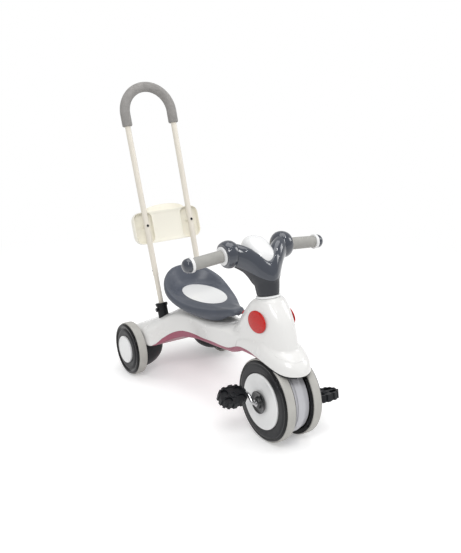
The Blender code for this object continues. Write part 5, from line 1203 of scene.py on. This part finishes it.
def make_handlebar():
    """The satin housing below and the glossy cover above a slanting seam, and the dome in the arms' notch."""
    solid = handlebar_solid()
    dome_tool = copied(solid, "dome_tool")
    for _, side in SIDES:
        knob = knob_profile(0.0004)
        knob += [(0.2, knob[-1][1]), (0.2, 0)]
        carve(solid, turned("knob_seat", on_side(knob, side), bar_place(side), 64, 0))
    carve(solid, drill(0.0129, 0.25, 0.3453, STEERING))
    cover = copied(solid, "bar_upper_cover")
    point = Vector((0, 0.035, 0.444))
    normal = Vector((0, -0.55, 1)).normalized()
    bisected(solid, point - normal * GAP, normal, False)
    solid.name = "bar_lower_housing"
    done(solid, "steering", SLATE_SATIN, "slate_satin", "handlebar_lower_housing", angle=SKIN_EDGES)
    bisected(cover, point + normal * GAP, normal, True)
    done(cover, "steering", SLATE_GLOSS, "slate_gloss", "handlebar_upper_cover", angle=SKIN_EDGES)

    dome = started("bar_white_dome", bpy.ops.mesh.primitive_uv_sphere_add, segments=96, ring_count=64, radius=1)
    for vert in dome.data.vertices:
        vert.co /= sum(abs(value) ** 2.6 for value in vert.co) ** (1 / 2.6)
    shape = Matrix.Rotation(math.radians(25), 4, "X") @ Matrix.Diagonal((0.038, 0.056, 0.038, 1))
    dome.data.transform(Matrix.Translation((0, 0.115, 0.500)) @ shape)
    into_edit(dome)
    bpy.ops.mesh.bisect(plane_co=(0, 0.115, 0.492), plane_no=(0, -0.42, 0.9), use_fill=True, clear_inner=True)
    out_of_edit()
    carve(dome, dome_tool)
    keep_largest(dome)
    done(dome, "steering", WHITE_TRIM, "white_gloss", "handlebar_dome", angle=SKIN_EDGES)


def keep_largest(piece):
    """Keeps the biggest connected part, where a cut left crumbs."""
    into_edit(piece)
    bpy.ops.mesh.separate(type="LOOSE")
    out_of_edit()
    parts = sorted(bpy.context.selected_objects, key=lambda part: len(part.data.vertices))
    piece.data = parts[-1].data
    for part in parts:
        if part != piece:
            bpy.data.objects.remove(part, do_unlink=True)


def make_grips():
    root, rib = 0.1098, 0.0125
    bulb = knob_profile() + [(0.1045, 0.0113), (0.0702, 0.0113), (0.0702, 0)]
    core = [
        (0.0705, 0), (0.0705, 0.0110), (0.1048, 0.0110), (0.1048, 0.0255), (root, 0.0255), (root, rib),
        (0.1998, rib), (0.1998, 0.0208), (0.2078, 0.0208), (0.2078, 0),
    ]
    sleeve = [(root + GAP, rib + GAP), (root + GAP, 0.0172), (0.1998 - GAP, 0.0168), (0.1998 - GAP, rib + GAP)]
    cap = [(0.2078 + GAP, 0), (0.2078 + GAP, 0.0198), (0.2125, 0.0198), (0.2190, 0.0184), (0.2245, 0.0142),
           (0.2277, 0.0086), (0.2290, 0)]
    for word, side in SIDES:
        turned_set(word, side, bar_place(side), "steering",
                   ("bar_bulb", bulb, 96, 0.0012, SLATE_GLOSS, "slate_gloss", "bar_knob"),
                   ("grip_rings", core, 96, 0.0011, WHITE_TRIM, "white_gloss", "grip_core"),
                   ("grip_sleeve", sleeve, 96, 0.0008, GRIP, "grip_grey", "hand_grip"),
                   ("grip_end", cap, 96, 0.0015, SLATE_GLOSS, "slate_satin", "grip_end_cap"))


# ---- push handle and backrest ----


def bow_path(start, steps=48):
    """The line of the bow, from one leg at the start, over the arc and down the other."""
    foot = HALF_TRACK + (BOW_RADIUS - HALF_TRACK) * start / ARC_CENTRE
    knee = Vector((foot + (BOW_RADIUS - foot) * 0.5, 0, (start + ARC_CENTRE) / 2))
    path = [Vector((-foot, 0, start)), Vector((-knee.x, 0, knee.z))]
    for step in range(steps + 1):
        angle = math.pi * step / steps
        path.append(Vector((-BOW_RADIUS * math.cos(angle), 0, ARC_CENTRE + BOW_RADIUS * math.sin(angle))))
    path += [knee, Vector((foot, 0, start))]
    return [HANDLE @ point for point in path]


def make_foam():
    """The foam sleeve round the bow, with soft ends."""
    path = bow_path(0.608, 64)
    tips = (path[0], path[-1])
    ways = ((path[1] - path[0]).normalized(), (path[-2] - path[-1]).normalized())
    near, soft = 0.0012, 0.0035
    line = [tips[0], tips[0] + ways[0] * near, tips[0] + ways[0] * soft] + path[2:-2]
    line += [tips[1] + ways[1] * soft, tips[1] + ways[1] * near, tips[1]]
    foam = swept("foam_sleeve", line, 0.0160, 0.0093, 48)
    for tip, way in zip(tips, ways):
        for vert in foam.data.vertices:
            along = (vert.co - tip).dot(way)
            if along < soft - 0.0001 and (vert.co - tip).length < 0.02:
                outward = vert.co - tip - way * along
                if outward.length > 0.012:
                    vert.co -= outward.normalized() * (0.0026 * (1 - max(along, 0.0) / soft) ** 2)
    done(foam, "frame", FOAM, "foam_grey", "push_grip_foam")


def make_push_handle():
    """The bow, its foam, and for each leg the lower tube, its socket, the spring button and a small detent."""
    bow = swept("push_bow_tube", bow_path(0.128), 0.009, 0.008, 36)
    for _, side in SIDES:
        place = leg_place(side) @ Matrix.Translation((0, 0, SCREW_ALONG)) @ Matrix.Rotation(QUARTER, 4, "X")
        carve(bow, drill(SCREW_WAY, -0.03, 0.03, place, 24))
    done(bow, "frame", PAINT, "pole_cream", "push_bow")
    make_foam()

    barrel = [
        (-0.078, 0), (-0.078, SOCKET_RADIUS), (0.0280, SOCKET_RADIUS), (0.0290, 0.0195), (0.0370, 0.0195),
        (0.0380, 0.0185), (0.0380, 0.0080), (-0.0703, 0.0080), (-0.0703, 0),
    ]
    boss = [(0.012, 0), (0.012, 0.0065), (0.0225, 0.0065), (0.0225, 0)]
    button = [(0.0055, 0), (0.0055, BUTTON_RADIUS), (0.0250, BUTTON_RADIUS), (0.0250, 0)]
    detent = [(0.0070, 0), (0.0070, 0.0021), (0.0096, 0.0021), (0.0102, 0.0012), (0.0103, 0)]
    turn = Matrix.Rotation(QUARTER, 4, "Y")
    for word, side in SIDES:
        place = leg_place(side)
        across = place @ Matrix.Translation((0, 0, BUTTON_ALONG)) @ turn
        line = [place @ Vector((0, 0, along)) for along in (-0.070, 0.06, 0.173)]
        tube = swept(f"lower_tube_{word}", line, 0.0077, 0.0065, 36)
        carve(tube, drill(BUTTON_RADIUS + GAP, side * 0.002, side * 0.05, across, 24))
        done(tube, "frame", PAINT, "pole_cream", f"handle_lower_tube_{word}")

        socket = turned(f"tube_socket_{word}", barrel, place, 72, 0.0009)
        carve(socket, turned("boss", on_side(boss, side), across, 32, 0.0010, 2), "UNION")
        carve(socket, drill(BUTTON_RADIUS + GAP, side * 0.002, side * 0.05, across, 24))
        done(socket, "frame", BLACK_SATIN, "black_plastic", f"handle_socket_{word}")

        pin = turned(f"spring_button_{word}", on_side(button, side), across, 32, 0.0012)
        done(pin, f"lock_button_{word}", STEEL, "steel", f"lock_button_{word}")

        higher = place @ Matrix.Translation((0, 0, DETENT_ALONG)) @ turn
        stud = turned(f"tube_detent_{word}", on_side(detent, side), higher, 24, 0.0004)
        done(stud, "frame", STEEL, "steel")


def plate_outline(half_width, bottom, top, corner, steps=10):
    """An upright rectangle with round corners, as (x, z) points."""
    points = []
    for centre_x, centre_z, start in (
        (half_width - corner, top - corner, 0), (-half_width + corner, top - corner, 90),
        (-half_width + corner, bottom + corner, 180), (half_width - corner, bottom + corner, 270),
    ):
        for step in range(steps + 1):
            angle = math.radians(start + 90 * step / steps)
            points.append((centre_x + corner * math.cos(angle), centre_z + corner * math.sin(angle)))
    return points


def make_backrest():
    """A tray behind the legs: sunk wings, a raised pale middle and a crowned tab along the top."""
    upright = HANDLE @ Matrix(((1, 0, 0, 0), (0, 0, -1, 0), (0, 1, 0, 0), (0, 0, 0, 1)))
    front, back, wall, past = -0.0093, -0.0263, 0.0030, 0.01
    half_width, bottom, top = 0.118, 0.2306, 0.3332
    inner_bottom, inner_top = 0.2336, 0.3302
    tray = plate("tray", plate_outline(half_width, bottom, top, 0.028), back, front, soft=0.0016, segments=3)
    crown = []
    for step in range(33):
        angle = math.pi * step / 32
        crown.append((0.076 * math.cos(angle), inner_top + 0.0221 * math.sin(angle) ** 0.9))
    carve(tray, plate("tab", crown, back + 0.0008, back + wall + 0.0008, soft=0.0007), "UNION")
    middle = 0.052
    for _, side in SIDES:
        width = (half_width - wall - middle) / 2
        wing = [(x + side * (middle + width), z) for x, z in plate_outline(width, inner_bottom, inner_top, 0.018)]
        carve(tray, plate("wing", wing, back + wall, front + past))
    carve(tray, plate("middle", plate_outline(0.049, inner_bottom, inner_top, 0.006), back - past, front - wall))
    carve(tray, plate("dip", plate_outline(0.0480, 0.2375, 0.3250, 0.006), front - 0.0012, front + past))
    tray.data.transform(upright)
    places = {}
    boss = [(0.0093, 0), (0.0093, 0.0055), (0.0253, 0.0055), (0.0253, 0)]
    for word, side in SIDES:
        place = leg_place(side) @ Matrix.Translation((0, 0, SCREW_ALONG)) @ Matrix.Rotation(-QUARTER, 4, "X")
        carve(tray, turned("screw_boss", boss, place, 32, 0.0003, 2), "UNION")
        carve(tray, drill(SCREW_WAY, -0.01, 0.0248, place, 24))
        places[word] = place
    bevel = tray.modifiers.new("edges", "BEVEL")
    bevel.width = 0.0007
    bevel.segments = 2
    bevel.limit_method = "ANGLE"
    bevel.angle_limit = math.radians(50)
    apply_all(tray)
    tray.name = "back_panel"
    done(tray, "frame", PANEL, "panel_cream", "backrest")
    screw = [
        (-0.0116, 0), (-0.0116, 0.0030), (-0.0104, 0.0042), (-0.0093, 0.0042), (-0.0093, 0.0020), (0.0223, 0.0020),
        (0.0223, 0),
    ]
    for word, place in places.items():
        head = turned(f"panel_screw_{word}", screw, place, 32, 0.0005)
        for way in (0, QUARTER):
            slot = place @ Matrix.Rotation(way, 4, "Z")
            carve(head, block("slot", (-0.0021, -0.0004, -0.02), (0.0021, 0.0004, -0.0107), slot))
        done(head, "frame", BLACK_SATIN, "black_plastic", f"backrest_screw_{word}")


# ---- studio ----


PURE_WHITE = (1, 1, 1, 1)


def seen_by(made, *kinds):
    """1 for two kinds of rays, 0 for the light itself, so that what they see doesn't change how pieces are lit."""
    rays = node(made, "ShaderNodeLightPath")
    seen = node(made, "ShaderNodeMath", operation="MAXIMUM")
    for socket, kind in zip(seen.inputs, kinds):
        link(made, rays.outputs[kind], socket)
    return seen.outputs[0]


def make_floor():
    """A pale floor, lifted a little for the eye, that turns into a plain white backdrop past the shadow."""
    floor = started("studio_floor", bpy.ops.mesh.primitive_plane_add, size=60, location=(0, 0, 0))
    pale = new_finish("pale_floor", (0.86, 0.86, 0.86), 0.75, specular=0.15)
    seen = seen_by(pale, "Is Camera Ray", "Is Glossy Ray")
    lift = node(pale, "ShaderNodeMath", operation="MULTIPLY")
    lift.inputs[1].default_value = 0.30
    link(pale, seen, lift.inputs[0])
    glow = node(pale, "ShaderNodeEmission", Color=PURE_WHITE)
    link(pale, lift.outputs[0], glow.inputs["Strength"])
    near = node(pale, "ShaderNodeAddShader")
    link(pale, shader_of(pale).outputs[0], near.inputs[0])
    link(pale, glow.outputs[0], near.inputs[1])
    reach = node(pale, "ShaderNodeVectorMath", operation="LENGTH")
    link(pale, object_coordinates(pale), reach.inputs[0])
    fade = node(pale, "ShaderNodeMapRange", interpolation_type="SMOOTHSTEP", **{"From Min": 0.75, "From Max": 1.9})
    link(pale, reach.outputs["Value"], fade.inputs["Value"])
    far = node(pale, "ShaderNodeMath", operation="MULTIPLY")
    link(pale, fade.outputs["Result"], far.inputs[0])
    link(pale, seen, far.inputs[1])
    backdrop = node(pale, "ShaderNodeEmission", Color=PURE_WHITE)
    both = node(pale, "ShaderNodeMixShader")
    for output, socket in zip((far, near, backdrop), both.inputs):
        link(pale, output.outputs[0], socket)
    link(pale, both.outputs[0], pale.node_tree.nodes["Material Output"].inputs["Surface"])
    floor.data.materials.append(pale)


def make_daylight():
    """An even white surround, dimmer as a light than it looks."""
    world = bpy.data.worlds.new("studio_light")
    world.use_nodes = True
    bpy.context.scene.world = world
    background = world.node_tree.nodes["Background"]
    background.inputs["Color"].default_value = PURE_WHITE
    seen = seen_by(world, "Is Camera Ray", "Is Transmission Ray")
    link(world, ranged(world, seen, 0.62, 1.0, 0.0, 1.0), background.inputs["Strength"])


def softbox(name, place, aim, width, height, power):
    """A rectangular lamp at a place, turned towards its aim."""
    lamp = bpy.data.lights.new(name, "AREA")
    lamp.shape = "RECTANGLE"
    lamp.size = width
    lamp.size_y = height
    lamp.energy = power
    box = bpy.data.objects.new(name, lamp)
    bpy.context.scene.collection.objects.link(box)
    box.location = place
    box.rotation_euler = (Vector(aim) - Vector(place)).to_track_quat("-Z", "Y").to_euler()


def make_lamps():
    """Three soft boxes, and three small ceiling lamps that leave the bright dots on gloss."""
    softbox("key_box", (-1.5, -2.2, 3.0), (0, 0, 0.3), 1.3, 0.9, 36)
    softbox("top_box", (0.4, 0.3, 3.4), (0, 0, 0.2), 2.4, 2.4, 34)
    softbox("side_box", (2.6, -1.0, 1.9), (0, 0, 0.3), 0.8, 1.3, 14)
    for index, place in enumerate(((-0.9, -1.6, 3.2), (0.1, -1.9, 3.0), (0.9, -1.2, 3.3))):
        softbox(f"ceiling_lamp_{index}", place, (0, 0, 0.4), 0.10, 0.10, 2.2)


def make_camera():
    """The camera that the photograph was fitted with."""
    lens = bpy.data.cameras.new("photo_camera")
    lens.sensor_width = 36
    lens.lens = 36 * 800 / 553
    lens.clip_end = 100
    camera = bpy.data.objects.new("photo_camera", lens)
    bpy.context.scene.collection.objects.link(camera)
    camera.location = (-1.184, -1.600 + AXLE_Y, 1.146)
    camera.rotation_euler = (math.radians(90 - 18.886), 0, math.radians(-32.593))
    bpy.context.scene.camera = camera
    bpy.context.scene.view_settings.view_transform = "Standard"


make_floor()
make_daylight()
make_lamps()
make_camera()
make_body()
make_guard_lip()
make_reflectors()
make_rear_plug()
make_neck_ring()
make_guard_screw()
make_saddle()
make_housings()
make_rear_wheels()
make_front_wheel()
make_crank()
make_pedals()
make_drum()
make_handlebar()
make_grips()
make_push_handle()
make_backrest()
finish_kept_solids()
